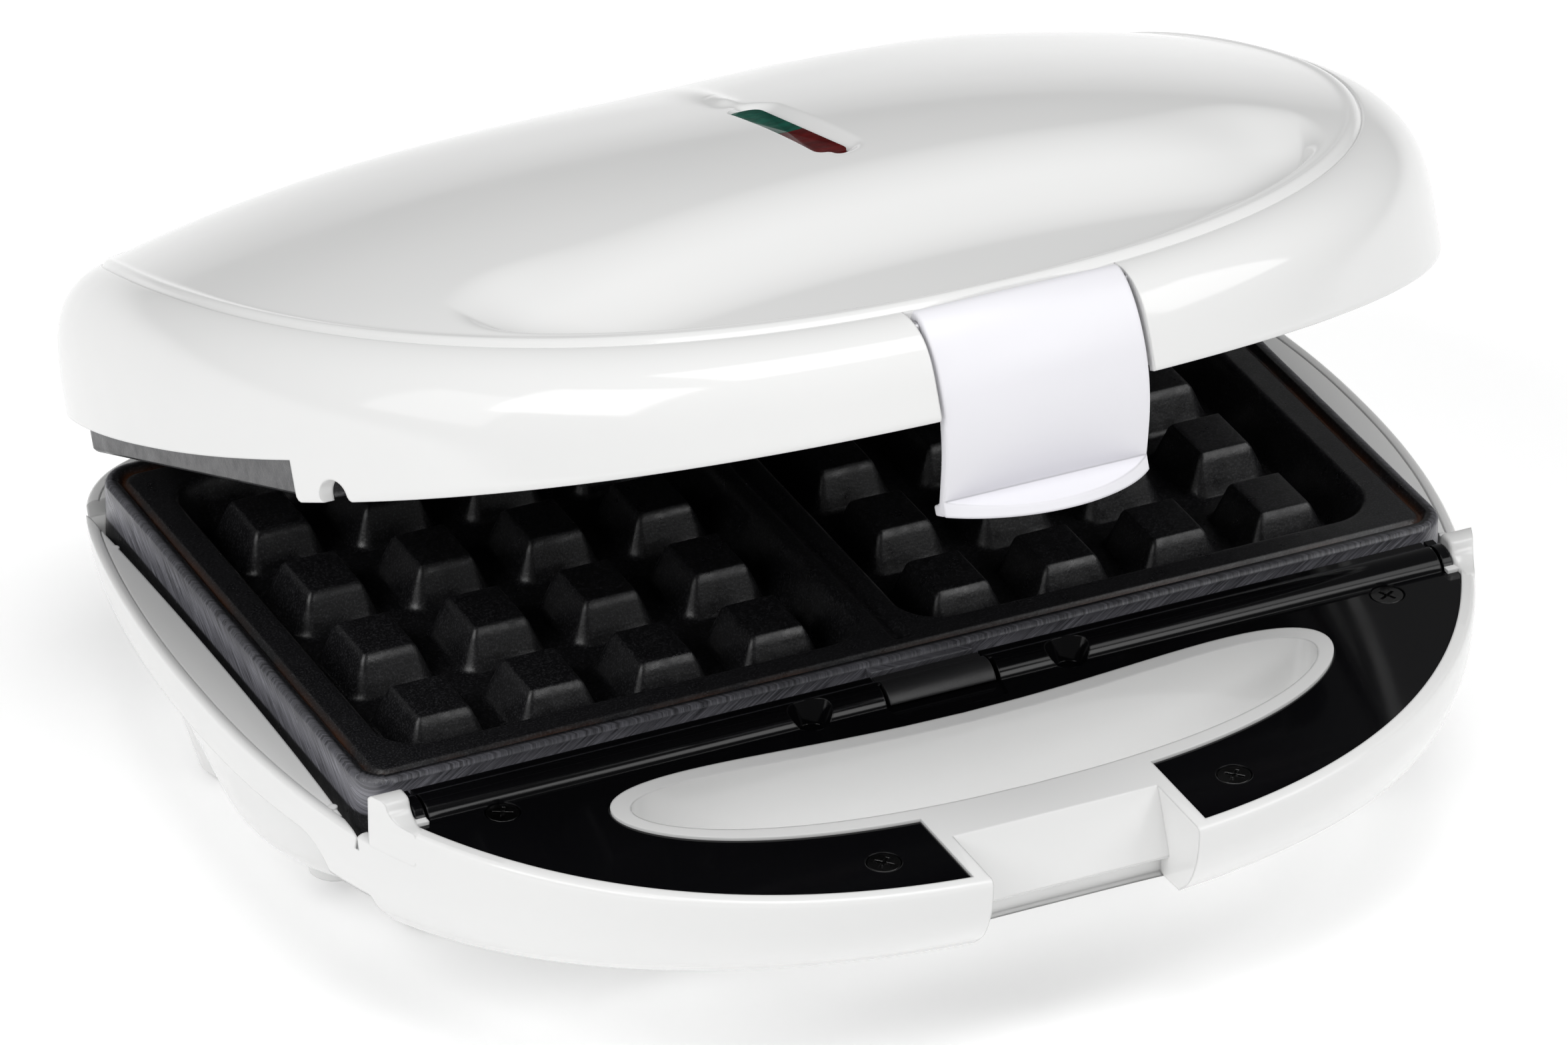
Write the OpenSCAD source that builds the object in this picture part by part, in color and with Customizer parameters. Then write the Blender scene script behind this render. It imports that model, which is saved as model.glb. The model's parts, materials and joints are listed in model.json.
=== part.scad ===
// Two-slice waffle maker: an oval white clamshell with a finger well in its front
// handle, two cast waffle plates, a rear hinge and a pivoting front latch.
// Origin: on the table under the middle of the body. +Z is up, the handle faces -Y.
// The lid is drawn closed and then turned about the hinge by lid_open.

/* [Body outline] */
// Half of the width of the body at its widest line
half_width = 124.4; // [122:0.2:130]
// Distance from the widest line to the front tip of the handle
front_reach = 137.3; // [134:0.1:146]
// Distance from the widest line to the back edge
rear_reach = 86; // [85:0.5:92]
// Squareness of the front curve, where 2 is an ellipse
front_power = 2.35; // [2.2:0.05:2.6]
// Squareness of the rear corners
rear_power = 10; // [8:0.5:14]
// Squareness of the rear corners of the lid's dome
dome_power = 4.7; // [3:0.1:10]
// Share of the half width that the sides draw in by at the back edge
rear_taper = 0.11; // [0.05:0.01:0.15]
// Y of the widest line
waist_y = 19.5; // [18:0.1:21]

/* [Heights] */
// Top of the front rim of the base above the table
rim_z = 48; // [46:0.5:56]
// Height of the rim above the step where the two white base mouldings meet
part_drop = 13; // [11:0.5:14]
// Height of the plates' meeting plane above the front rim
plate_rise = 2.5; // [2:0.1:4]
// Height of the lid's edge bead above the meeting plane at the front tip
lid_front_h = 20; // [18:0.5:24]
// Height of the dome above the line of the edge bead
dome_h = 13.4; // [10:0.1:15]

/* [Plates] */
// Length of one waffle mould from front to back
mould_d = 108; // [100:1:110]
// Depth of a mould below the meeting plane
mould_depth = 9.5; // [8:0.5:10]
// Number of studs across one mould
studs_x = 4; // [3:1:6]
// Number of studs from front to back
studs_y = 4; // [3:1:6]
// Thickness of a plate from its rim to its back
plate_t = 13.5; // [13:0.5:15]

/* [Hinge and latch] */
// Angle between the lid as drawn and the closed lid, in degrees
lid_open = 23.3; // [0:0.1:60]
// Distance of the hinge axis behind the plates
hinge_gap = 5.5; // [5.3:0.1:7]
// Depth of the hinge axis below the front rim
hinge_drop = 8; // [7.5:0.25:9]
// Radius of the hinge pins
pin_r = 2.5; // [2:0.25:3]
// Half of the width of the latch
latch_hw = 20.5; // [18:0.5:22]
// Radius of the latch's pivot pin
latch_pin_r = 1.5; // [1.25:0.25:1.75]

/* [Fits] */
// Play between a pin and the bore that turns on it, on the radius
run_fit = 0.05; // [0.02:0.01:0.1]
// Wall of the white mouldings
wall = 2.5; // [2:0.1:3]

/* [Hidden] */

$fn = 48;
ring_n = 72;                                   // points round a moulded outline
eps = 0.01;
meet_z = rim_z + plate_rise;                   // plane where the two plates meet
plate_gap = 0.15;                              // each rim stops this far short of it
plate_hw = half_width - 11.6;                  // half width of a plate
divider = 9;                                   // web between the two moulds
plate_edge = 10.3;                             // rim of a plate outside its moulds
mould_w = plate_hw - divider / 2 - plate_edge;
plate_hd = mould_d / 2 + plate_edge + 0.1;     // half depth of a plate
plate_cy = waist_y + 3.2;
plate_y0 = plate_cy - plate_hd;                // front edge of a plate
plate_y1 = plate_cy + plate_hd;                // back edge of a plate
plate_bottom = meet_z - plate_t;
hinge_y = plate_y1 + hinge_gap;
hinge_z = rim_z - hinge_drop;
knuckle_r = 4.7;                               // outside of the hinge knuckles
hinge_x = half_width * 0.6;                    // inner end of each hinge
part_z = rim_z - part_drop;                    // parting line of the base mouldings
front_y = waist_y - front_reach;
well_y = front_y + 40.5;                        // middle of the finger well
well_len = 73.8;                               // half length of the well's collar
well_hw = 15.8;                                // half width of the well's collar
well_bow = 0.002;                              // how much the well follows the front curve
collar_w = 3.5;
deck_z = rim_z - 6;                            // deck beside the plates, at its inner edge
deck_slope = 0.3;
opening_hw = plate_hw + 2.3;                   // half width of the opening round the plate
panel_t = 2;
panel_inset = 2.6;                             // white rim outside the black panel
panel_back = plate_y0 - 2.9;
roll_y = panel_back - 4.6;                     // bead along the back of the black panel
roll_r = 4.4;
catch_hw = 10.9;                               // half width of the plate catch
stem_hw = 7.5;                                 // half width of its stem
catch_travel = 2.4;
gap_hw = 23.6;                                 // half width of the white bridge at the latch
catch_y = front_y + 12.7;                      // front edge of the catch under the recess
catch_z = rim_z - 12.4;                        // height of that edge
pivot_y = front_y + 7.7;                       // latch pivot
pivot_z = meet_z + 17;
skirt_z = meet_z + 0.6;                        // lower edge of the lid at the front
side_z = meet_z + 8.7;                         // lower edge of the lid beside the plates
step_y = plate_y0 + 3;                         // where the front skirt steps up
crease_in = 10.1;                              // inset of the lid's edge bead
dish_y = front_y + 73.3;                       // middle of the dish in the lid
dish_hw = 84;                                  // half width of the dish
dish_reach = 59;                               // distance from its middle to its front edge
horn_y = plate_y0 - 6.8;
heater_r = 3.2;
heater_hx = mould_w - 12;                      // half size of the heater's loop
heater_hy = mould_d / 2 - 16;
tray_t = 0.8;                                  // sheet of the reflectors
tray_hx = heater_hx + 9.8;                     // half size of the reflectors
tray_hy = heater_hy + 9.4;
tray_drop = 2 * heater_r + 0.4;                // from the back of a plate to a reflector's sheet
tray_base = plate_bottom - tray_drop - tray_t - 0.05;
function four(x, y) = [[-x, -y], [x, -y], [-x, y], [x, y]];
tray_spots = four(tray_hx - 5.8, tray_hy - 9.4);
tongue_x = [-60, 60];                          // tongues on the back edge of each plate
post_x = plate_hw - 12.8;                      // front screws of the pan, beside the reflector
post_y = plate_hd - 8.4;                       // rear screws of the pan, behind the reflector
pan_screw_spots = [[-post_x, plate_cy - 20], [post_x, plate_cy - 20],
    [8 - post_x, plate_cy + post_y], [post_x - 8, plate_cy + post_y]];
post_z = 12.3;                                 // where the bosses of the pan meet the posts of the base
foot_x = half_width - 26.4;
foot_spots = [[-foot_x, plate_cy + 28], [foot_x, plate_cy + 28], [12 - foot_x, plate_cy - 36], [foot_x - 12, plate_cy - 36]];

white = "white";
black = "#151515";
steel = "#b9bcc0";

// ---- Outlines and skins ----

function spow(v, p) = sign(v) * pow(abs(v), p);
function mix(a, b, f) = a + (b - a) * f;

// Radius of a unit superellipse of power p in the direction t
function super_r(t, p) = 1 / pow(pow(abs(cos(t)), p) + pow(abs(sin(t)), p), 1 / p);

// Plan outline of the body, drawn in by d
function plan(d = 0) = [for (i = [0:ring_n - 1]) let (t = 360 * i / ring_n,
    front = i > ring_n / 2, s = super_r(t, front ? front_power : rear_power), v = s * sin(t))
    [(half_width - d) * s * cos(t) * (front ? 1 : 1 - rear_taper * v * v),
        waist_y + ((front ? front_reach : rear_reach) - d) * v]];

// Outline of the finger well's collar, drawn in by d
function well(d = 0, n = 60) = [for (i = [0:n - 1]) let (t = 360 * i / n,
    x = (well_len - d) * spow(cos(t), 0.5))
    [x, well_y + well_bow * x * x + (well_hw - d) * sin(t)]];

// Rectangle with round corners, centred on c
function round_rect(hx, hy, r, c = [0, 0], n = 5) = [for (q = [0:3], k = [0:n])
    let (a = 90 * (q + k / n), sx = q == 0 || q == 3 ? 1 : -1, sy = q < 2 ? 1 : -1)
    [c.x + sx * (hx - r) + r * cos(a), c.y + sy * (hy - r) + r * sin(a)]];

// Closed solid through a list of rings with the same number of points, each end closed by a fan
module skin(rings) {
    n = len(rings[0]);
    last = len(rings) - 1;
    function middle(r) = r * [for (p = r) 1 / n];
    ends = [for (r = [rings[0], rings[last]]) [for (k = [0:2]) middle([for (p = r) p[k]])]];
    tip = n * (last + 1);
    polyhedron(points = concat([for (r = rings) each r], ends), faces = concat(
        [for (i = [0:n - 1]) [i, (i + 1) % n, tip]],
        [for (k = [0:last - 1], i = [0:n - 1]) let (j = (i + 1) % n)
            each [[k * n + i, (k + 1) * n + i, (k + 1) * n + j], [k * n + i, (k + 1) * n + j, k * n + j]]],
        [for (i = [0:n - 1]) [last * n + (i + 1) % n, last * n + i, tip + 1]]), convexity = 8);
}

// Prism along X through a profile of [y, z] points
module along_x(x0, x1, profile) {
    translate([x0, 0, 0]) rotate([90, 0, 90]) linear_extrude(x1 - x0) polygon(profile);
}

module box(x0, x1, y0, y1, z0, z1) {
    translate([x0, y0, z0]) cube([x1 - x0, y1 - y0, z1 - z0]);
}

module both_sides() {
    children();
    mirror([1, 0, 0]) children();
}

// Turns what is drawn on the closed lid to its open place
module on_lid() {
    translate([0, hinge_y, hinge_z]) rotate([-lid_open, 0, 0]) translate([0, -hinge_y, -hinge_z])
        children();
}

// Flat-headed cross-head screw, head up, with the head's top at z = 0
module screw(head_r = 3.1, shank_r = 1.5, length = 12) {
    difference() {
        union() {
            translate([0, 0, -1.1]) cylinder(r = head_r, h = 1.1);
            translate([0, 0, -length]) cylinder(r = shank_r, h = length - 1);
        }
        for (a = [0, 90]) rotate(a) translate([-head_r * 0.62, -0.35, -0.9]) cube([head_r * 1.24, 0.7, 2]);
    }
}

// ---- Base ----

// Wall of the base from the rim down: [part of the height, inset]
base_wall = [[0, 0.9], [0.02, 0.25], [0.07, 0], [0.3, 0.35], [0.55, 1.6], [0.8, 4], [1, 7.6]];
function handle_drop(x) = part_drop + 4.5 + 6.5 * pow(min(1, abs(x) / 105), 2);

function base_ring(f, d) = [for (p = plan(d)) [p.x, p.y, rim_z - f * handle_drop(p.x)]];

module base_outer() {
    skin(concat([for (k = [len(base_wall) - 1:-1:0]) base_ring(base_wall[k][0], base_wall[k][1])]));
}

// Everything above the sloping decks beside and behind the plate
module above_decks() {
    y0 = horn_y + 1.5;
    hw = half_width + 5;
    rise = deck_slope * (hw - opening_hw);
    translate([0, hinge_y + 30, 0]) rotate([90, 0, 0]) linear_extrude(hinge_y + 30 - y0)
        polygon([[-hw, rim_z + 5], [-hw, deck_z + rise], [-opening_hw, deck_z], [opening_hw, deck_z],
            [hw, deck_z + rise], [hw, rim_z + 5]]);
}

// Space inside the base below the decks, open downwards
module base_hollow() {
    y0 = panel_back + 2;
    intersection() {
        translate([0, 0, -1]) linear_extrude(deck_z - wall + 1) polygon(plan(3.4));
        box(-half_width, half_width, y0, waist_y + rear_reach, -2, deck_z);
    }
    r = 6;
    y1 = y0 + 11;
    along_x(-half_width - 5, half_width + 5, concat([[y1, -1]],
        [for (a = [180:-15:90]) [y1 + r + r * cos(a), part_z - r + r * sin(a)]],
        [[waist_y + rear_reach + 5, part_z], [waist_y + rear_reach + 5, -1]]));
}

// Trough under the black panel, leaving the well's collar and the latch bridge standing
module panel_trough() {
    floor_z = rim_z - 14;
    seat_z = rim_z - 0.5 - panel_t;
    difference() {
        union() {
            difference() {
                translate([0, 0, floor_z]) linear_extrude(20) polygon(plan(panel_inset + 3.2));
                box(-half_width, -stem_hw - 0.3, panel_back - 1.5, hinge_y + 40, 0, seat_z);
                box(stem_hw + 0.3, half_width, panel_back - 1.5, hinge_y + 40, 0, seat_z);
            }
            translate([0, 0, seat_z]) linear_extrude(20) polygon(plan(panel_inset));
        }
        box(-half_width, half_width, plate_y0 - 2, hinge_y + 40, 0, 90);
        linear_extrude(90) polygon(well(0));
        box(-gap_hw, gap_hw, front_y - 5, well_y - 8, 0, 90);
        for (s = screw_spots) translate([s.x, s.y, 0]) cylinder(r = 4, h = seat_z);
    }
    for (s = screw_spots) translate([s.x, s.y, rim_z - 12]) cylinder(r = 1.5, h = 12);
}

// Pocket in the front that takes the latch, with the catch at its foot
module latch_recess() {
    hw = latch_hw + 0.4;
    top_y = front_y + 18;
    along_x(-hw, hw, [[front_y - 10, rim_z + 5], [top_y, rim_z + 5], [top_y, rim_z],
        [top_y - 0.9, rim_z - 1.6], [catch_y + 1, catch_z + 2.5], [catch_y, catch_z],
        [catch_y + 0.6, catch_z - 0.7], [catch_y + 3.6, catch_z - 0.8], [catch_y + 3.6, catch_z - 5.2],
        [catch_y + 1.5, catch_z - 5.6], [catch_y + 1.5, -1], [front_y - 10, -1]]);
}

// Locating horn at the end of the front rim, which enters a notch in the lid
module horn() {
    x1 = half_width - 7.8;
    intersection() {
        translate([0, 0, deck_z - 1]) linear_extrude(12) polygon(plan(-1.5));
        union() {
            along_x(x1 - 4.8, x1, [[horn_y + 2, deck_z - 1], [horn_y + 2, rim_z + 3.4], [horn_y + 1.3, rim_z + 4],
                [horn_y - 1.6, rim_z + 4], [horn_y - 2.6, rim_z + 3.2], [horn_y - 3.6, rim_z + 1.4],
                [horn_y - 5.6, rim_z + 0.5], [horn_y - 8, rim_z + 0.4], [horn_y - 8, deck_z - 1]]);
            box(x1 - 11.3, x1 - 4, horn_y - 6, horn_y - 3.4, rim_z - 1.5, rim_z + 0.4);
        }
    }
}

// Wall and ledge that hold the plate
module plate_seat() {
    y0 = plate_y0 - 2.1;
    y1 = plate_y1 + 2.1;
    difference() {
        union() {
            box(-opening_hw - 2, opening_hw + 2, y0, y1 + 2, plate_bottom - 2, deck_z - 0.5);
        }
        box(-opening_hw, opening_hw, y0 - eps, y1, plate_bottom, rim_z);
        box(-opening_hw + 12, opening_hw - 12, y0 + 9, y1 - 9, 0, rim_z);
        for (x = tongue_x) box(x - 5.3, x + 5.3, plate_y1 - 1, plate_y1 + 3.2, plate_bottom + 0.1, deck_z - wall);
        both_sides() hinge_slot();
    }
    for (s = pan_screw_spots) translate([s.x, s.y, post_z + 0.2]) difference() {
        cylinder(r = 3.6, h = plate_bottom - 1 - post_z - 0.2);
        translate([0, 0, -1]) cylinder(r = 1.5, h = 12);
    }
}

// Small pips along the deck's edge, which centre the plate
module deck_pips() {
    for (k = [0:5]) translate([opening_hw + 0.5, plate_y0 + 8 + 20.8 * k, deck_z - 1]) cylinder(r = 0.9, h = 1.5);
}

module hinge_tower() {
    box(hinge_x, hinge_x + 12, hinge_y - knuckle_r, hinge_y + knuckle_r, deck_z - wall - 4, hinge_z);
    translate([hinge_x, hinge_y, hinge_z]) rotate([0, 90, 0]) cylinder(r = knuckle_r, h = 12);
}

module hinge_bore() {
    translate([hinge_x - 1, hinge_y, hinge_z]) rotate([0, 90, 0]) cylinder(r = pin_r, h = 14);
}

// Slot in the back of the deck in which an ear of the lid turns
module hinge_slot() {
    box(hinge_x + 12, hinge_x + 20.2, hinge_y - knuckle_r - 0.3, hinge_y + 30,
        hinge_z - knuckle_r - 0.4, rim_z + 5);
}

module base_shell() color(white) {
    difference() {
        base_outer();
        above_decks();
        base_hollow();
        panel_trough();
        latch_recess();
        translate([0, 0, -1]) linear_extrude(rim_z + 5) polygon(well(collar_w));
        box(-opening_hw, opening_hw, plate_y0 - 2.1, plate_y1 + 2.1, plate_bottom, rim_z + 5);
        both_sides() {
            hinge_slot();
            hinge_bore();
        }
    }
    difference() {
        union() {
            plate_seat();
            both_sides() hinge_tower();
        }
        both_sides() hinge_bore();
    }
    both_sides() {
        horn();
        deck_pips();
    }
}

// Lower white moulding: [height above the table, inset]
pan_wall = [[0, 0.6], [0.22, 1.2], [0.45, 3.6], [0.66, 8.5], [0.83, 15], [0.95, 21], [1, 26]];
function pan_plan(d) = [for (i = [0:ring_n - 1]) let (t = 360 * i / ring_n,
    front = i > ring_n / 2, s = super_r(t, front ? 4 : rear_power), v = s * sin(t))
    [(half_width - 0.6 - d) * s * cos(t) * (1 - rear_taper * v * v * (front ? 0.6 : 1)),
        waist_y + ((front ? 62 : rear_reach) - d) * v]];
function pan_ring(k, d) = let (z = part_z - 0.3 - pan_wall[k][0] * (part_z - 4.3))
    [for (p = pan_plan(pan_wall[k][1] + d)) [p.x, p.y, z + (k == 0 ? 0 : d * 0.9)]];

module base_pan() color(white) {
    last = len(pan_wall) - 1;
    difference() {
        union() {
            skin(concat([for (k = [last:-1:0]) pan_ring(k, 0)], [for (k = [0:last]) pan_ring(k, wall)]));
            for (s = foot_spots) translate([s.x, s.y, 1.5]) cylinder(r1 = 8.5, r2 = 10.5, h = 10);
            for (s = pan_screw_spots) translate([s.x, s.y, 4.6]) cylinder(r = 5, h = post_z - 4.6);
            translate([0, plate_cy, tray_base]) tray_posts(tray_base - 5.5);
        }
        for (s = pan_screw_spots) translate([s.x, s.y, 0]) {
            cylinder(r = 1.7, h = 20);
            cylinder(r = 3.3, h = 6.5);
        }
        for (s = foot_spots) translate([s.x, s.y, -1]) cylinder(r = 6.6, h = 4);
        translate([half_width * 0.45, waist_y + rear_reach - 22, 17]) rotate([-90, 0, 0]) cylinder(r = 4, h = 30);
        for (k = [-3:3]) box(k * 12 - 1.5, k * 12 + 1.5, plate_cy - 20, plate_cy + 20, -1, 9);
    }
}

module foot_pads() color("#303030") {
    for (s = foot_spots) translate([s.x, s.y, 0]) cylinder(r = 6.5, h = 3);
}

screw_spots = [[-91.4, front_y + 61.5], [91.4, front_y + 61.5], [-35.8, front_y + 16], [35.8, front_y + 16]];

// Glossy black cover of the handle, a C that the white latch bridge interrupts
module front_panel() color(black) {
    top = rim_z - 0.5;
    difference() {
        union() {
            translate([0, 0, top - panel_t]) linear_extrude(panel_t) difference() {
                polygon(plan(panel_inset + 0.15));
                polygon(well(-0.15));
                translate([-half_width, panel_back]) square([2 * half_width, 300]);
                translate([-gap_hw - 0.15, front_y - 5]) square([2 * gap_hw + 0.3, well_y - 8.1 - front_y + 5]);
            }
            translate([-plate_hw + 5.5, roll_y, top - 1.6]) rotate([0, 90, 0]) cylinder(r = roll_r, h = 2 * plate_hw - 11);
            box(-plate_hw + 5.5, plate_hw - 5.5, roll_y, panel_back, top - 2, top + 1.8);
        }
        box(-half_width, half_width, roll_y - 8, roll_y + 12, top - 15, top - panel_t);
        both_sides() translate([26.6, roll_y - 4.2, top - 5]) cylinder(r = 4, h = 12);
        box(-catch_hw - 0.3, catch_hw + 0.3, roll_y - 5, panel_back + 1, top, top + 8);
        box(-stem_hw - 0.3, stem_hw + 0.3, roll_y - catch_travel, panel_back + 1, top - 5, top + 1);
        for (s = screw_spots) translate([s.x, s.y, top - 5]) cylinder(r = 1.7, h = 8);
        for (s = screw_spots) translate([s.x, s.y, top - 1.2]) cylinder(r = 3.4, h = 3);
        both_sides() box(half_width - 19.4, half_width, horn_y - 6.3, horn_y + 3, top - 5, top + 5);
        both_sides() box(10.2, 10.7, roll_y - 12, roll_y - 3.4, top - 0.6, top + 1);
        box(-10.7, 10.7, roll_y - 12.3, roll_y - 11.8, top - 0.6, top + 1);
    }
}

// Sliding catch: a ribbed head in line with the roll, and a stem whose nose holds the plate by its tab
module lower_catch() color("#1f1f1f") {
    head_z = rim_z - 0.3;
    difference() {
        translate([-catch_hw, roll_y, rim_z - 2.1]) rotate([0, 90, 0]) cylinder(r = roll_r - 0.1, h = 2 * catch_hw);
        box(-catch_hw - 1, catch_hw + 1, roll_y - 8, roll_y + 8, rim_z - 20, head_z);
        for (k = [-3:3]) box(k * 2.8 - 0.35, k * 2.8 + 0.35, roll_y - 2.5, roll_y + 2.5, rim_z + 1.6, rim_z + 5);
    }
    box(-catch_hw, catch_hw, roll_y, panel_back - 0.2, head_z, rim_z + 1.2);
    box(-stem_hw, stem_hw, roll_y + 0.6, panel_back - 0.2, rim_z - 13.6, head_z + 0.5);
    box(-stem_hw, stem_hw, panel_back - 1, plate_y0 - 1.1, meet_z - 8.4, meet_z - 6.8);
}

module panel_screws() color("#222222") {
    for (s = screw_spots) translate([s.x, s.y, rim_z - 0.6]) rotate(s.x * 1.3) screw(length = 11);
}

// ---- Plates ----

stud_px = (mould_w - 4) / studs_x;
stud_py = (mould_d - 4) / studs_y;

// Ridges with sloping sides, as [across, height] pairs: half width a at the foot, b at the crest
function ridge(c, a, b) = [[c - a, -mould_depth - 1], [c - b, -1.5], [c + b, -1.5], [c + a, -mould_depth - 1]];

module ridges(n, pitch) {
    for (j = [0:n - 1]) along_x(-70, 70, ridge((j - (n - 1) / 2) * pitch * 0.97, pitch / 2 - 3, pitch / 2 - 6.5));
}

// Studs of one mould: the meeting of ridges that run across with ridges that run front to back
module studs() intersection() {
    ridges(studs_y, stud_py);
    rotate(90) ridges(studs_x, stud_px);
}

// One mould and its studs, cut into a plate whose rim is at z = 0
module mould_cut() {
    difference() {
        intersection() {
            translate([0, 0, -mould_depth]) linear_extrude(mould_depth + 0.2)
                polygon(round_rect(mould_w / 2, mould_d / 2, 9));
            along_x(-mould_w, mould_w, [[-mould_d / 2 + 3, -mould_depth], [-mould_d / 2, 0.3],
                [mould_d / 2, 0.3], [mould_d / 2 - 3, -mould_depth]]);
            rotate(90) along_x(-mould_d, mould_d, [[-mould_w / 2 + 3, -mould_depth], [-mould_w / 2, 0.3],
                [mould_w / 2, 0.3], [mould_w / 2 - 3, -mould_depth]]);
        }
        studs();
    }
}

// Casting with its rim at z = 0 and its back at -plate_t
module plate() {
    hd = plate_hd;
    difference() {
        union() {
            translate([0, 0, -plate_t]) linear_extrude(plate_t - plate_gap) polygon(round_rect(plate_hw, hd, 7));
            box(-10.6, 10.6, -hd - 1.9, -hd + 4, -plate_t + 2.5, -plate_gap);
            for (x = tongue_x) box(x - 5, x + 5, hd - 1, hd + 3, -plate_t + 0.4, -plate_t + 2.2);
        }
        for (s = [-1, 1]) translate([s * (mould_w + divider) / 2, 0, 0]) mould_cut();
        difference() {
            translate([0, 0, -1.5]) linear_extrude(5) polygon(round_rect(plate_hw - 2.6, hd - 2.6, 5));
            translate([0, 0, -2]) linear_extrude(7) polygon(round_rect(plate_hw - 4.4, hd - 4.4, 4));
        }
        box(-1.6, 1.6, -hd + 6, hd - 6, -1.8, 2);
        box(-8, 8, -hd - 3, -hd - 0.7, -8.9, -6.4);
    }
}

module lower_plate() color("#262626") translate([0, plate_cy, meet_z]) plate();

module lower_tray_screws() color(steel) translate([0, plate_cy, plate_bottom - tray_drop - tray_t]) tray_screws();

// Sheathed element bent into a loop under both moulds, with its two cold ends at the back
module heater(z) {
    hx = heater_hx;
    hy = heater_hy;
    r = 14;
    module tube(a, b) {
        d = b - a;
        translate([a.x, a.y, z]) rotate([0, 90, atan2(d.y, d.x)]) cylinder(r = heater_r, h = norm(d));
    }
    module bend(c, a0) {
        translate([c.x, c.y, z]) rotate(a0) rotate_extrude(angle = 90) translate([r, 0]) circle(r = heater_r);
    }
    bend([hx - r, hy - r], 0);
    bend([-hx + r, hy - r], 90);
    bend([-hx + r, -hy + r], 180);
    bend([hx - r, -hy + r], 270);
    tube([-hx + r, -hy], [hx - r, -hy]);
    tube([hx, -hy + r], [hx, hy - r]);
    tube([-hx, hy - r], [-hx, -hy + r]);
    tube([20, hy], [hx - r, hy]);
    tube([-hx + r, hy], [-20, hy]);
}

module lower_heater() color("#6e675f") translate([0, plate_cy, 0]) heater(plate_bottom - heater_r - 0.1);

// Shallow steel tray that keeps the heat against the plate, with the top of its sheet at z = 0
module tray() {
    hx = tray_hx;
    hy = tray_hy;
    difference() {
        translate([0, 0, -tray_t]) linear_extrude(tray_drop + tray_t - 0.3) polygon(round_rect(hx, hy, 10));
        linear_extrude(9) polygon(round_rect(hx - tray_t, hy - tray_t, 10 - tray_t));
        cylinder(r = 8.4, h = 30, center = true);
        for (s = tray_spots) translate([s.x, s.y, 0]) cylinder(r = 1.7, h = 5, center = true);
    }
}

// Pan-head screws through a reflector's sheet, whose top is at z = tray_t here
module tray_screws() {
    for (s = tray_spots) translate([s.x, s.y, 0]) {
        translate([0, 0, tray_t]) cylinder(r = 2.8, h = 1.6);
        translate([0, 0, -7]) cylinder(r = 1.5, h = 8);
    }
}

// Posts that the screws of a reflector enter, from z = 0 down
module tray_posts(length) {
    for (s = tray_spots) translate([s.x, s.y, -length]) difference() {
        cylinder(r = 4, h = length);
        translate([0, 0, length - 8]) cylinder(r = 1.5, h = 9);
    }
}

module lower_reflector() color(steel) translate([0, plate_cy, plate_bottom - tray_drop]) tray();

// Snap thermostat held against the back of the lower plate
module thermostat() color("#8a8f94") translate([0, plate_cy, 0]) {
    translate([0, 0, plate_bottom - 9]) cylinder(r = 8, h = 8.9);
    translate([0, 0, plate_bottom - 8.8]) cylinder(r = 11, h = 8.8 - tray_drop - tray_t - 0.2);
    translate([0, 0, plate_bottom - 13]) cylinder(r = 6, h = 4.5);
    for (s = [-1, 1]) box(s * 4 - 0.4, s * 4 + 0.4, -3, 3, plate_bottom - 19, plate_bottom - 12.5);
}

module terminal_block() color("#d9d4c6") {
    y0 = waist_y + rear_reach - 44;
    difference() {
        box(-20, 20, y0, y0 + 16, 6.9, 20);
        for (k = [-1:1]) translate([k * 12, y0 + 8, 12]) cylinder(r = 2.4, h = 20);
    }
}

// Bar that holds the mains lead inside the pan, next to its hole
module cord_clamp() color("#d9d4c6") {
    x = half_width * 0.45;
    y0 = waist_y + rear_reach - 40;
    difference() {
        box(x - 13, x + 13, y0, y0 + 8, 6.9, 22);
        translate([x, y0 - 1, 17]) rotate([-90, 0, 0]) cylinder(r = 3.6, h = 10);
        box(x - 14, x + 14, y0 - 1, y0 + 9, 16.9, 17.1);
    }
}

module pan_screws() color(steel) {
    for (s = pan_screw_spots) translate([s.x, s.y, 5.4]) mirror([0, 0, 1]) screw(length = 15);
}

module hinge_pins() color(steel)
    both_sides() translate([hinge_x + 0.5, hinge_y, hinge_z]) rotate([0, 90, 0]) cylinder(r = pin_r, h = 19.5);

// ---- Lid, drawn closed ----

// Height of the edge bead and of the surface inside it
function edge_z(y) = let (v = y - front_y - crease_in)
    meet_z + lid_front_h + 0.177 * v - 0.00045 * v * v;
function oval_r(x, y) = let (front = y < waist_y, p = front ? front_power : dome_power,
    v = (y - waist_y) / ((front ? front_reach : rear_reach) - crease_in),
    u = x / (half_width - crease_in) / (front ? 1 : 1 - rear_taper * min(1, v * v)))
    pow(pow(abs(u), p) + pow(abs(v), p), 1 / p);
function top_z(x, y) = edge_z(y) + dome_h * (1 - pow(oval_r(x, y), 2.4));

// Floor of the dish, which climbs out of the dome behind it
function floor_z(x, y) = let (s = y + 0.0009 * x * x - dish_y)
    meet_z + 19.8 + 0.2 * (s + 53) + 0.0118 * pow(max(0, s + 26), 2) - 0.00075 * x * x;
dish_steps = [[0.12, 0], [0.3, 0], [0.46, 0], [0.6, 0], [0.74, 0], [0.86, 0], [0.93, 0.4], [1, 2.2], [1, 60]];

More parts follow.
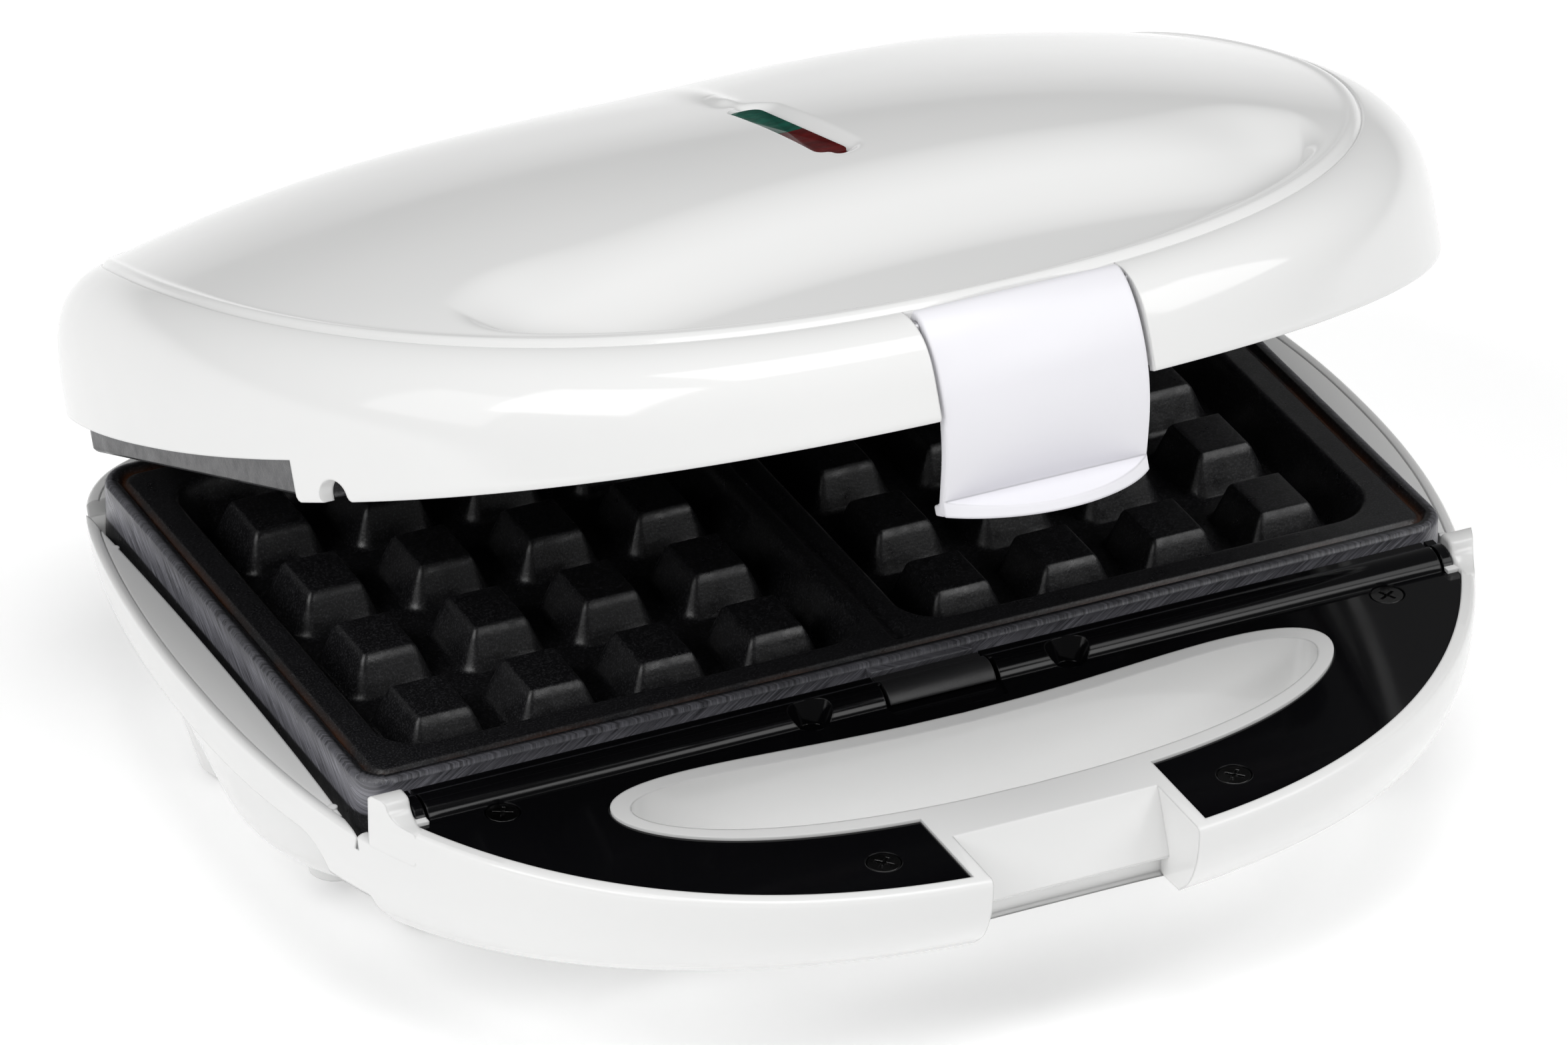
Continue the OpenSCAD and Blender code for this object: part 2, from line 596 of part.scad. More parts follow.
// Cutter for the dish, grown by g on every side
module dish(g = 0) {
    skin([for (k = dish_steps) [for (i = [0:59]) let (t = 6 * i, x = (dish_hw + g) * k[0] * cos(t),
        y = dish_y + (dish_reach + g) * k[0] * sin(t)) [x, y, floor_z(x, y) + k[1] - 1.15 * g]]]);
}

// Wall of the lid from its lower edge up: [part of the height, inset]
lid_wall = [[0, 0.6], [0.04, 0.1], [0.1, 0], [0.45, 0.2], [0.7, 1.3], [0.86, 3.9], [0.95, 6.9], [1, crease_in]];
crease = [for (p = plan(crease_in)) top_z(p.x, p.y)];
dome_rings = [0.95, 0.88, 0.78, 0.66, 0.53, 0.4, 0.26, 0.12, 0.03];

function lid_ring(f, d, low, t) = let (ring = plan(d + t)) [for (i = [0:ring_n - 1])
    [ring[i].x, ring[i].y, mix(low, crease[i], f) - (f > 0.9 ? t : 0)]];
function dome_ring(r, t) = [for (p = plan(crease_in)) let (x = p.x * r, y = waist_y + (p.y - waist_y) * r)
    [x, y, top_z(x, y) - t]];

module lid_solid(t, low) {
    skin(concat([for (k = [0:len(lid_wall) - 1]) lid_ring(lid_wall[k][0], lid_wall[k][1], low, t)],
        [for (r = dome_rings) dome_ring(r, t)]));
}

module lid_shell() color(white) on_lid() {
    hw = latch_hw + 0.9;
    difference() {
        lid_solid(0, skirt_z);
        dish();
        difference() {
            lid_solid(wall, skirt_z - 3);
            dish(wall);
            box(-hw - wall, hw + wall, front_y, pivot_y + 3.5 + wall, skirt_z + 1, meet_z + 60);
            translate([0, plate_cy, meet_z + plate_t + tray_drop + tray_t + 0.05]) mirror([0, 0, 1]) tray_posts(60);
            for (s = lid_screw_spots) translate([s.x, s.y, skirt_z + 4.6]) difference() {
                cylinder(r = 4, h = 50);
                translate([0, 0, -1]) cylinder(r = 1.5, h = 9);
            }
        }
        box(-half_width - 5, half_width + 5, step_y, hinge_y + 40, skirt_z - 5, side_z);
        both_sides() horn_notch();
        box(-hw, hw, front_y - 5, pivot_y + 3.5, skirt_z - 5, pivot_z + 12);
        translate([-hw - 5, pivot_y, pivot_z]) rotate([0, 90, 0]) cylinder(r = latch_pin_r, h = 2 * hw + 10);
        box(-lens_hw - 0.4, lens_hw + 0.4, lens_y0 - 0.4, lens_y1 + 0.4, meet_z + 20, meet_z + 80);
        both_sides() box(hinge_x - 0.6, hinge_x + 22, hinge_y - 9, hinge_y + 9, skirt_z, side_z + 1);
    }
}

// Notch in the lid's skirt for the horn of the base
module horn_notch() {
    translate([half_width - 25, horn_y, skirt_z + 1]) rotate([0, 90, 0]) cylinder(r = 3.4, h = 40);
    box(half_width - 25, half_width + 15, horn_y - 3.4, horn_y + 3.4, skirt_z - 5, skirt_z + 1);
}

// Inner moulding of the lid: it carries the plate and has the ears that turn on the hinge pins
module lid_frame() color("#e8e8e6") on_lid() {
    z0 = side_z + 3;
    ear_x = hinge_x + 12.6;
    difference() {
        union() {
            intersection() {
                translate([0, 0, z0]) linear_extrude(3) polygon(plan(3.4));
                box(-half_width, half_width, plate_y0 - 8, hinge_y + 6, z0 - 1, z0 + 4);
            }
            both_sides() {
                box(ear_x, ear_x + 7, hinge_y - knuckle_r, hinge_y + 1.5, hinge_z, z0 + 1);
                translate([ear_x, hinge_y, hinge_z]) rotate([0, 90, 0]) cylinder(r = knuckle_r, h = 7);
            }
        }
        box(-plate_hw + 6, plate_hw - 6, plate_y0 + 6, plate_y1 - 6, z0 - 5, z0 + 8);
        box(-plate_hw - 0.5, plate_hw + 0.5, plate_y0 - 3, plate_y1 + 0.5, z0 - 5, meet_z + plate_t);
        for (x = tongue_x) box(x - 5.3, x + 5.3, plate_y1, plate_y1 + 3.3, z0 - 1, meet_z + plate_t - 0.1);
        both_sides() translate([ear_x - 1, hinge_y, hinge_z]) rotate([0, 90, 0]) cylinder(r = pin_r + run_fit, h = 9);
    }
}

lid_screw_spots = [[-80, front_y + 57], [80, front_y + 57], [-38, front_y + 23], [38, front_y + 23]];

module lid_front_panel() color(black) on_lid() difference() {
    translate([0, 0, skirt_z + 2.5]) linear_extrude(2) difference() {
        polygon(plan(wall + 1));
        translate([-half_width, panel_back]) square([2 * half_width, 300]);
        translate([-latch_hw - 4, front_y - 5]) square([2 * latch_hw + 8, 21]);
        both_sides() translate([half_width - 16, horn_y - 6]) square([20, 12]);
    }
    for (s = lid_screw_spots) translate([s.x, s.y, skirt_z]) cylinder(r = 1.7, h = 8);
}

module lid_panel_screws() color("#222222") on_lid()
    for (s = lid_screw_spots) translate([s.x, s.y, skirt_z + 1.4]) mirror([0, 0, 1]) screw(length = 10);

module upper_plate() color("#262626") on_lid() translate([0, plate_cy, meet_z]) mirror([0, 0, 1]) plate();

module upper_tray_screws() color(steel) on_lid()
    translate([0, plate_cy, meet_z + plate_t + tray_drop + tray_t]) mirror([0, 0, 1]) tray_screws();

module upper_heater() color("#6e675f") on_lid() translate([0, plate_cy, 0]) heater(meet_z + plate_t + heater_r + 0.1);

module upper_reflector() color(steel) on_lid() translate([0, plate_cy, meet_z + plate_t + tray_drop])
    mirror([0, 0, 1]) tray();

// Thermal cut-out in its sleeve, clipped to the back of the upper plate
module thermal_fuse() color("#c9b58a") on_lid() translate([-14, plate_cy + 20, meet_z + plate_t + 2.3])
    rotate([0, 90, 0]) cylinder(r = 2.2, h = 28);

lens_y0 = plate_y0 + 2.2;
lens_y1 = lens_y0 + 45;
lens_hw = 3;
lens_cy = (lens_y0 + lens_y1) / 2;
lamp_z = top_z(0, lens_y0) - 10.5;             // floor of the lamp holder

// Strip of the dome from y0 to y1, from z1 to z2 above the surface
module dome_strip(hw, y0, y1, z1, z2) {
    top = [for (k = [0:6]) let (y = mix(y0, y1, k / 6)) [y, top_z(0, y) + z2]];
    along_x(-hw, hw, concat(top, [for (k = [6:-1:0]) top[k] - [0, z2 - z1]]));
}

module lens(y0, y1) dome_strip(lens_hw, y0, y1, -2.8, -1.1);

module lens_green() color("#0b4a36") on_lid() lens(lens_cy + 0.1, lens_y1);

module lens_red() color("#4a1210") on_lid() lens(lens_y0, lens_cy - 0.1);

// Open box under the window with one lamp for each colour
module lamp_holder() color("#e8e8e6") on_lid() {
    y0 = lens_y0 - 2;
    y1 = lens_y1 + 2;
    difference() {
        along_x(-6, 6, [[y0, lamp_z - 1.6], [y0, top_z(0, y0) - wall - 0.5],
            [y1, top_z(0, y1) - wall - 1], [y1, lamp_z - 1.6]]);
        box(-4.5, 4.5, lens_y0, lens_cy - 1, lamp_z, lamp_z + 40);
        box(-4.5, 4.5, lens_cy + 1, lens_y1, lamp_z, lamp_z + 40);
    }
}

module neon_lamps() color("#d98a4a") on_lid()
    for (y = [mix(lens_y0, lens_cy, 0.5), mix(lens_cy, lens_y1, 0.5)]) translate([0, y - 6, lamp_z + 2.4])
        rotate([-90, 0, 0]) cylinder(r = 2.3, h = 12);

// ---- Latch ----

// Outer face of the latch from its top to its foot, then its inner face back up
latch_out = [[0.8, 3.4], [-1.2, 2.6], [-3.6, 0], [-5.4, -4], [-6.3, -8.5], [-6.4, -13], [-5.6, -18], [-3.4, -24],
    [0.2, -30.5], [2.2, -33.6]];
latch_in = [[3.6, -35], [6.2, -35], [6.2, -33], [3.9, -32.7], [2.6, -30.4], [-0.9, -23.6], [-3, -17.2], [-3.7, -13],
    [-3.6, -8.5], [-2.6, -4], [-1.4, -1.6], [2.1, -1.6], [2.6, 1.8]];

tab_r = 27;                                    // curve of the pull tab's front

module latch() color("#efeef6") on_lid() translate([0, pivot_y, pivot_z]) difference() {
    union() {
        along_x(-latch_hw, latch_hw, concat(latch_out, latch_in));
        intersection() {
            translate([0, tab_r - 8, -40]) cylinder(r = tab_r, h = 10, $fn = 120);
            along_x(-latch_hw, latch_hw, [[4, -32.6], [4, -34.4], [-12, -37.6], [-12, -36], [1.6, -32]]);
        }
    }
    translate([-latch_hw - 1, 0, 0]) rotate([0, 90, 0]) cylinder(r = latch_pin_r + run_fit, h = 2 * latch_hw + 2);
}

module latch_pin() color(steel) on_lid() translate([-latch_hw - 2.9, pivot_y, pivot_z])
    rotate([0, 90, 0]) cylinder(r = latch_pin_r, h = 2 * latch_hw + 5.8);

base_shell();
base_pan();
foot_pads();
front_panel();
panel_screws();
lower_plate();
lower_heater();
lower_reflector();
lower_tray_screws();
thermostat();
terminal_block();
cord_clamp();
pan_screws();
hinge_pins();
lower_catch();
lid_shell();
lid_frame();
lid_front_panel();
lid_panel_screws();
upper_plate();
upper_heater();
upper_reflector();
upper_tray_screws();
thermal_fuse();
lens_green();
lens_red();
lamp_holder();
neon_lamps();
latch();
latch_pin();
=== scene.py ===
"""Looks of the two-slice waffle maker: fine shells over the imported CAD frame, materials, light, camera.

The shells are drawn in millimetres, with the lid closed, from the same measures and curves as the
part's source. The lid's pieces are then turned to the open place that the frame is packed in.
"""
import json
import math

import bpy
import numpy as np
from mathutils import Matrix, Vector


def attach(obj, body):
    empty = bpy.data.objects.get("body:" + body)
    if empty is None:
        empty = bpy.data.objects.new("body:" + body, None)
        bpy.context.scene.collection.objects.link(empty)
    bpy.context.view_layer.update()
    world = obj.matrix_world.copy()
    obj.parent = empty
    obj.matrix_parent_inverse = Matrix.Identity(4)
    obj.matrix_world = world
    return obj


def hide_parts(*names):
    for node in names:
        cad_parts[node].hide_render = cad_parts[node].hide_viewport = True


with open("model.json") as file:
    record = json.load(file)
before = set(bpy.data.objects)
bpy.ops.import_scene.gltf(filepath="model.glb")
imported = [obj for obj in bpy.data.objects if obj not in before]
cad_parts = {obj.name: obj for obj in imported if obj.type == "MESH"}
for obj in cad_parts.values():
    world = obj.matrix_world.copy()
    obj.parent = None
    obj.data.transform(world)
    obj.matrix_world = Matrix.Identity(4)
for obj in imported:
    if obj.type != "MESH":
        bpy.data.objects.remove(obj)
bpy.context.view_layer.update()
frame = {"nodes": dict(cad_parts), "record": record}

nodes = frame["nodes"]
MM = 0.001
FINE = 2
N = 300 * FINE                          # points round the plan outline

# ---- Measures of the part, in millimetres, as in its source ----
HALF_WIDTH, FRONT_REACH, REAR_REACH = 124.4, 137.3, 86.0
FRONT_POWER, REAR_POWER, REAR_TAPER = 2.35, 10.0, 0.11
WAIST_Y = 19.5
RIM_Z, PART_DROP, PLATE_RISE = 48.0, 13.0, 2.5
LID_FRONT_H, DOME_H, DOME_POWER = 20.0, 13.4, 4.7
MOULD_W, MOULD_D, MOULD_DEPTH, STUDS, PLATE_T = 98.0, 108.0, 9.5, 4, 13.5
LID_OPEN = 23.3
WALL = 2.5
EPS = 0.01
MEET_Z = RIM_Z + PLATE_RISE
PLATE_HW, PLATE_HD = HALF_WIDTH - 11.6, 64.4
PLATE_R = 7.0                           # corners of the plate
PLATE_CY = WAIST_Y + 3.2
PLATE_Y0, PLATE_Y1 = PLATE_CY - PLATE_HD, PLATE_CY + PLATE_HD
HINGE_Y, HINGE_Z, HINGE_X = PLATE_Y1 + 5.5, RIM_Z - 8, HALF_WIDTH * 0.6
PART_Z = RIM_Z - PART_DROP
POST_X, POST_Y = PLATE_HW - 12.8, PLATE_HD - 8.4
FRONT_Y = WAIST_Y - FRONT_REACH
WELL_Y, WELL_LEN, WELL_HW, WELL_BOW, COLLAR = FRONT_Y + 40.5, 73.8, 15.8, 0.002, 3.5
DECK_Z, DECK_SLOPE, OPENING_HW = RIM_Z - 6, 0.3, PLATE_HW + 2.3
PANEL_T, PANEL_INSET, PANEL_BACK = 2.0, 2.6, PLATE_Y0 - 2.9
ROLL_Y, ROLL_R = PANEL_BACK - 4.6, 4.4
CATCH_HW, STEM_HW, CATCH_TRAVEL, GAP_HW = 10.9, 7.5, 2.4, 23.6
CATCH_Y, CATCH_Z = FRONT_Y + 12.7, RIM_Z - 12.4
PIVOT_Y, PIVOT_Z = FRONT_Y + 7.7, MEET_Z + 17
LATCH_HW = 20.5
SKIRT_Z, SIDE_Z, STEP_Y, CREASE = MEET_Z + 0.6, MEET_Z + 8.7, PLATE_Y0 + 3, 10.1
DISH_Y, DISH_HW, DISH_REACH = FRONT_Y + 73.3, 86.5, 59.0
HORN_Y = PLATE_Y0 - 6.8
LENS_Y0, LENS_Y1, LENS_HW = PLATE_CY - 59.2, PLATE_CY - 17.2, 3.2
FOOT_SPOTS = [(s * x, PLATE_CY + y) for x, y in ((98, 28), (86, -36)) for s in (-1, 1)]
PANEL_SCREWS = [(s * x, FRONT_Y + y) for x, y in ((91.4, 61.5), (35.8, 16)) for s in (-1, 1)]
PAN_REACH, PAN_POWER = 62, 4            # front half of the pan's outline


# ---- Curves ----
def curve_through(points, xs):
    """Monotone cubic through (x, y) points, read at xs."""
    px, py = np.array(points, float).T
    h, d = np.diff(px), np.diff(py) / np.diff(px)
    m = np.zeros(len(px))
    for i in range(1, len(px) - 1):
        if d[i - 1] * d[i] > 0:
            w1, w2 = 2 * h[i] + h[i - 1], h[i] + 2 * h[i - 1]
            m[i] = (w1 + w2) / (w1 / d[i - 1] + w2 / d[i])
    m[0], m[-1] = d[0], d[-1]
    xs = np.asarray(xs, float)
    k = np.clip(np.searchsorted(px, xs) - 1, 0, len(h) - 1)
    t = (xs - px[k]) / h[k]
    a, b = 2 * t**3 - 3 * t**2 + 1, t**3 - 2 * t**2 + t
    return a * py[k] + b * h[k] * m[k] + (1 - a) * py[k + 1] + (t**3 - t**2) * h[k] * m[k + 1]


def plan(d, n, front_reach=FRONT_REACH, front_power=FRONT_POWER, half=HALF_WIDTH, taper_front=0.0):
    """Plan outline drawn in by d: n points, from the right hand side over the back."""
    t = np.arange(n) * 2 * math.pi / n
    c, s = np.cos(t), np.sin(t)
    front = s < -1e-9
    p = np.where(front, front_power, REAR_POWER)
    r = (np.abs(c) ** p + np.abs(s) ** p) ** (-1 / p)
    v = r * s
    x = (half - d) * r * c * np.where(front, 1 - taper_front * v * v, 1 - REAR_TAPER * v * v)
    y = WAIST_Y + (np.where(front, front_reach, REAR_REACH) - d) * v
    return even(np.stack([x, y], 1), n)


def even(points, n):
    """The same closed outline with its points spread evenly along it."""
    closed = np.vstack([points, points[:1]])
    run = np.concatenate([[0], np.cumsum(np.linalg.norm(np.diff(closed, axis=0), axis=1))])
    at = np.linspace(0, run[-1], n, endpoint=False)
    return np.stack([np.interp(at, run, closed[:, k]) for k in (0, 1)], 1)


def well(d, n=240):
    """Outline of the finger well, drawn in by d."""
    t = np.arange(n) * 2 * math.pi / n
    x = (WELL_LEN - d) * np.sign(np.cos(t)) * np.abs(np.cos(t)) ** 0.5
    return even(np.stack([x, WELL_Y + WELL_BOW * x * x + (WELL_HW - d) * np.sin(t)], 1), n)


def round_rect(hx, hy, r, n=10):
    """Rectangle of half sizes hx and hy with corners of radius r."""
    out = []
    for q in range(4):
        for k in range(n + 1):
            a = math.pi / 2 * (q + k / n)
            sx, sy = (1 if q in (0, 3) else -1), (1 if q < 2 else -1)
            out.append((sx * (hx - r) + r * math.cos(a), sy * (hy - r) + r * math.sin(a)))
    return np.array(out)


def edge_z(y):
    """Height of the bead that runs round the lid's top."""
    v = y - FRONT_Y - CREASE
    return MEET_Z + LID_FRONT_H + 0.177 * v - 0.00045 * v * v


def oval_r(x, y, rear_power=DOME_POWER):
    """0 in the middle of the lid and 1 on its bead."""
    front = y < WAIST_Y
    p = np.where(front, FRONT_POWER, rear_power)
    v = (y - WAIST_Y) / (np.where(front, FRONT_REACH, REAR_REACH) - CREASE)
    u = x / (HALF_WIDTH - CREASE) / np.where(front, 1, 1 - REAR_TAPER * np.minimum(1, v * v))
    return (np.abs(u) ** p + np.abs(v) ** p) ** (1 / p)


def top_z(x, y):
    """Height of the dome without the dish."""
    return edge_z(y) + DOME_H * (1 - oval_r(x, y) ** 2.4)


def floor_z(x, y):
    """Height of the dish's floor."""
    s = y + 0.0009 * x * x - DISH_Y
    return MEET_Z + 19.8 + 0.2 * (s + 53) + 0.0118 * np.maximum(0, s + 26) ** 2 - 0.00075 * x * x


def smooth(v):
    """Smooth step from 0 to 1."""
    v = np.clip(v, 0, 1)
    return v * v * (3 - 2 * v)


def lid_top(x, y):
    """Height of the lid's top: dome, dish with a sharp lip in front and a fillet behind, bead, window recess."""
    dome = top_z(x, y)
    rho = np.sqrt((x / DISH_HW) ** 2 + ((y - DISH_Y) / DISH_REACH) ** 2)
    wall = 2.2 * np.clip((rho - 0.86) / 0.14, 0, 1) ** 2 + np.maximum(0, rho - 1) * DISH_REACH * 1.6
    back = smooth((y + 0.0009 * x * x - DISH_Y + 32) / 30)
    dish = floor_z(x, y) + wall + (0.3 + 7 * np.exp(-(x / 68) ** 8)) * back
    k = 1.0 + 4.0 * back
    h = np.maximum(k - np.abs(dome - dish), 0) / k
    top = np.minimum(dome, dish) - h * h * k / 4
    rim = (1 - oval_r(x, y, REAR_POWER)) * 122      # about the distance from the edge, in mm
    bead, groove = np.exp(-((rim - 2.0) / 1.1) ** 2), np.exp(-((rim - 0.5) / 0.35) ** 2)
    top = top + 0.5 * bead - 0.5 * groove
    gap = capsule(x, y, LENS_HW + 0.2, LENS_Y0, LENS_Y1)
    side = smooth((x + 1.5) / 3) * smooth((y - LENS_Y0 + 6) / 8)
    behind = y - LENS_Y1
    swoosh = smooth((behind - 3) / 5) * smooth((46 - behind) / 40)
    ridge = 0.9 * swoosh * np.exp(-((x - 0.002 * behind ** 2) / (1.6 + 0.05 * np.abs(behind))) ** 2)
    return top - 1.5 * side * smooth(1 - gap / 3.6) + ridge


def capsule(x, y, r, y0, y1):
    """Distance outside a slot of half width r along Y, whose rounded ends reach y0 and y1."""
    return np.hypot(x, np.maximum(np.maximum(y0 + r - y, y - y1 + r), 0)) - r


# ---- Mesh making ----
def new_mesh(name, verts, faces):
    """Object of a mesh given in millimetres."""
    me = bpy.data.meshes.new(name)
    me.from_pydata([tuple(v) for v in np.asarray(verts) * MM], [], faces)
    me.validate()
    ob = bpy.data.objects.new(name, me)
    bpy.context.scene.collection.objects.link(ob)
    return ob


def skin(name, rings):
    """Closed solid through rings of points, each end closed by a fan."""
    rings = [np.asarray(r, float) for r in rings]
    n, m = len(rings[0]), len(rings)
    verts = np.vstack(rings + [rings[0].mean(0)[None], rings[-1].mean(0)[None]])
    faces = []
    for k in range(m - 1):
        for i in range(n):
            j = (i + 1) % n
            faces.append((k * n + i, k * n + j, (k + 1) * n + j, (k + 1) * n + i))
    for i in range(n):
        j = (i + 1) % n
        faces.append((j, i, n * m))
        faces.append(((m - 1) * n + i, (m - 1) * n + j, n * m + 1))
    return new_mesh(name, verts, faces)


def at(ring, z):
    """Ring of points at the height z, one number or one for each point."""
    ring = np.asarray(ring, float)
    return np.column_stack([ring[:, :2], np.broadcast_to(z, len(ring))])


def prism(name, outline, z0, z1):
    return skin(name, [at(outline, z0), at(outline, z1)])


def along_x(name, x0, x1, profile):
    """Prism along X through a profile of (y, z) points, given anticlockwise as seen from +X."""
    p = np.array(profile, float)
    n = len(p)
    verts = [(x, q[0], q[1]) for x in (x0, x1) for q in p]
    area = 0.5 * np.sum(p[:, 0] * np.roll(p[:, 1], -1) - np.roll(p[:, 0], -1) * p[:, 1])
    order = range(n) if area > 0 else range(n - 1, -1, -1)
    idx = list(order)
    faces = [tuple(reversed(idx)), tuple(i + n for i in idx)]
    for a in range(n):
        i, j = idx[a], idx[(a + 1) % n]
        faces.append((i, j, j + n, i + n))
    return new_mesh(name, verts, faces)


def box(name, x0, x1, y0, y1, z0, z1):
    return along_x(name, x0, x1, [(y0, z0), (y1, z0), (y1, z1), (y0, z1)])


def tube(name, c, axis, r, length, n=64):
    """Cylinder from the point c along axis x, y or z."""
    a = np.arange(n) * 2 * math.pi / n
    u, v = r * np.cos(a), r * np.sin(a)
    k = "xyz".index(axis)
    rings = []
    for w in (0, length):
        ring = np.zeros((n, 3))
        ring[:, (k + 1) % 3], ring[:, (k + 2) % 3], ring[:, k] = u, v, w
        rings.append(ring + np.array(c, float))
    return skin(name, rings)


def combine(a, op, *others):
    """Applies boolean op (DIFFERENCE, UNION, INTERSECT) of others to a, and removes them."""
    for b in others:
        mod = a.modifiers.new("cut", "BOOLEAN")
        mod.operation, mod.object, mod.solver = op, b, "MANIFOLD"
        me = bpy.data.meshes.new_from_object(a.evaluated_get(bpy.context.evaluated_depsgraph_get()))
        if len(me.polygons) == 0:
            raise RuntimeError(f"boolean of {a.name} and {b.name} left nothing")
        a.modifiers.clear()
        old, a.data = a.data, me
        bpy.data.meshes.remove(old)
        gone = b.data
        bpy.data.objects.remove(b)
        bpy.data.meshes.remove(gone)
    return a


def cut(a, *others):
    return combine(a, "DIFFERENCE", *others)


def join(a, *others):
    return combine(a, "UNION", *others)


def mirrored(make):
    """What make() builds, and its mirror image in the middle plane."""
    one, two = make(), make()
    two.data.transform(Matrix.Diagonal((-1, 1, 1, 1)))
    two.data.flip_normals()
    return one, two


def on_lid(ob):
    """Turns a mesh drawn on the closed lid to its open place."""
    pivot = Vector((0, HINGE_Y * MM, HINGE_Z * MM))
    ob.data.transform(Matrix.Translation(pivot) @ Matrix.Rotation(math.radians(-LID_OPEN), 4, "X")
                      @ Matrix.Translation(-pivot))
    return ob


def finish_piece(ob, name, body, material, node, angle=32, lid=False):
    """Names, smooths and dresses a piece, which rides on body and stands for the CAD node."""
    if lid:
        on_lid(ob)
    ob.name = name
    ob.data.name = name
    me = ob.data
    me.polygons.foreach_set("use_smooth", np.ones(len(me.polygons), bool))
    me.set_sharp_from_angle(angle=math.radians(angle))
    me.materials.clear()
    me.materials.append(material)
    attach(ob, body)
    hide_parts(node)
    return ob


# ---- Materials ----
def material(name, colour, rough, **more):
    """New material, its node tree and its shader; more are inputs of the shader, spaces as underscores."""
    m = bpy.data.materials.new(name)
    m.use_nodes = True
    nt = m.node_tree
    bsdf = nt.nodes["Principled BSDF"]
    bsdf.inputs["Base Color"].default_value = (*colour, 1)
    bsdf.inputs["Roughness"].default_value = rough
    for key, value in more.items():
        bsdf.inputs[key.replace("_", " ")].default_value = value
    return m, nt, bsdf


def coords(nt, scale=(1, 1, 1)):
    """Object coordinates, in metres, times scale."""
    tc = nt.nodes.new("ShaderNodeTexCoord")
    mp = nt.nodes.new("ShaderNodeMapping")
    mp.inputs["Scale"].default_value = scale
    nt.links.new(tc.outputs["Object"], mp.inputs["Vector"])
    return mp.outputs["Vector"]


def noise(nt, vector, scale, detail=4, rough=0.5):
    n = nt.nodes.new("ShaderNodeTexNoise")
    n.inputs["Scale"].default_value = scale
    n.inputs["Detail"].default_value = detail
    n.inputs["Roughness"].default_value = rough
    nt.links.new(vector, n.inputs["Vector"])
    return n.outputs["Fac"]


def ramp(nt, fac, stops):
    r = nt.nodes.new("ShaderNodeValToRGB")
    el = r.color_ramp.elements
    while len(el) < len(stops):
        el.new(0.5)
    for e, (pos, col) in zip(el, stops):
        e.position = pos
        e.color = (*col, 1) if len(col) == 3 else col
    nt.links.new(fac, r.inputs["Fac"])
    return r.outputs["Color"]


def rough_between(nt, bsdf, fac, lo, hi):
    """Roughness from lo to hi with a noise that lies mostly between 0.3 and 0.7."""
    mr = nt.nodes.new("ShaderNodeMapRange")
    mr.inputs["From Min"].default_value, mr.inputs["From Max"].default_value = 0.3, 0.7
    mr.inputs["To Min"].default_value, mr.inputs["To Max"].default_value = lo, hi
    nt.links.new(fac, mr.inputs["Value"])
    nt.links.new(mr.outputs["Result"], bsdf.inputs["Roughness"])


def bump(nt, bsdf, height, strength, distance, bevel=0.0):
    """Bump from height, over edges that look rounded to the radius bevel."""
    b = nt.nodes.new("ShaderNodeBump")
    b.inputs["Strength"].default_value = strength
    b.inputs["Distance"].default_value = distance
    nt.links.new(height, b.inputs["Height"])
    if bevel:
        bv = nt.nodes.new("ShaderNodeBevel")
        bv.samples = 4
        bv.inputs["Radius"].default_value = bevel
        nt.links.new(bv.outputs["Normal"], b.inputs["Normal"])
    nt.links.new(b.outputs["Normal"], bsdf.inputs["Normal"])


def plastic(name, tone_lo, tone_hi, rough_lo, rough_hi, grain, depth, bevel, coat=0.0, spec=0.5):
    """Moulded plastic: faint drift of tone and gloss, and the slight waviness or grain of the mould."""
    m, nt, bsdf = material(name, tone_hi, rough_lo)
    bsdf.inputs["Specular IOR Level"].default_value = spec
    bsdf.inputs["Coat Weight"].default_value = coat
    bsdf.inputs["Coat Roughness"].default_value = 0.04
    v = coords(nt)
    drift = noise(nt, v, 14, 2)
    nt.links.new(ramp(nt, drift, [(0.3, tone_lo), (0.7, tone_hi)]), bsdf.inputs["Base Color"])
    rough_between(nt, bsdf, noise(nt, v, 45, 3), rough_lo, rough_hi)
    bump(nt, bsdf, noise(nt, v, grain, 2), 0.25, depth, bevel)
    return m


white = plastic("white_gloss", (0.73, 0.732, 0.728), (0.75, 0.75, 0.745), 0.08, 0.13,
                60, 0.00006, 0.0006, coat=0.1, spec=0.4)
satin = plastic("white_satin", (0.74, 0.735, 0.77), (0.755, 0.75, 0.785), 0.34, 0.42, 1500, 0.00002, 0.0008)
inner = plastic("inner_white", (0.62, 0.62, 0.61), (0.66, 0.66, 0.65), 0.4, 0.5, 1200, 0.00003, 0.0004)
gloss = plastic("black_gloss", (0.002, 0.002, 0.0025), (0.003, 0.003, 0.0035), 0.05, 0.1,
                50, 0.00004, 0.0004, spec=0.25)
matte = plastic("black_matte", (0.012, 0.012, 0.013), (0.018, 0.018, 0.019), 0.38, 0.5, 1800, 0.00012, 0.0006)
rubber = plastic("rubber", (0.02, 0.02, 0.02), (0.03, 0.03, 0.03), 0.7, 0.85, 2500, 0.0001, 0.0008)
cream = plastic("cream", (0.55, 0.49, 0.38), (0.6, 0.55, 0.44), 0.35, 0.45, 900, 0.00003, 0.0003)


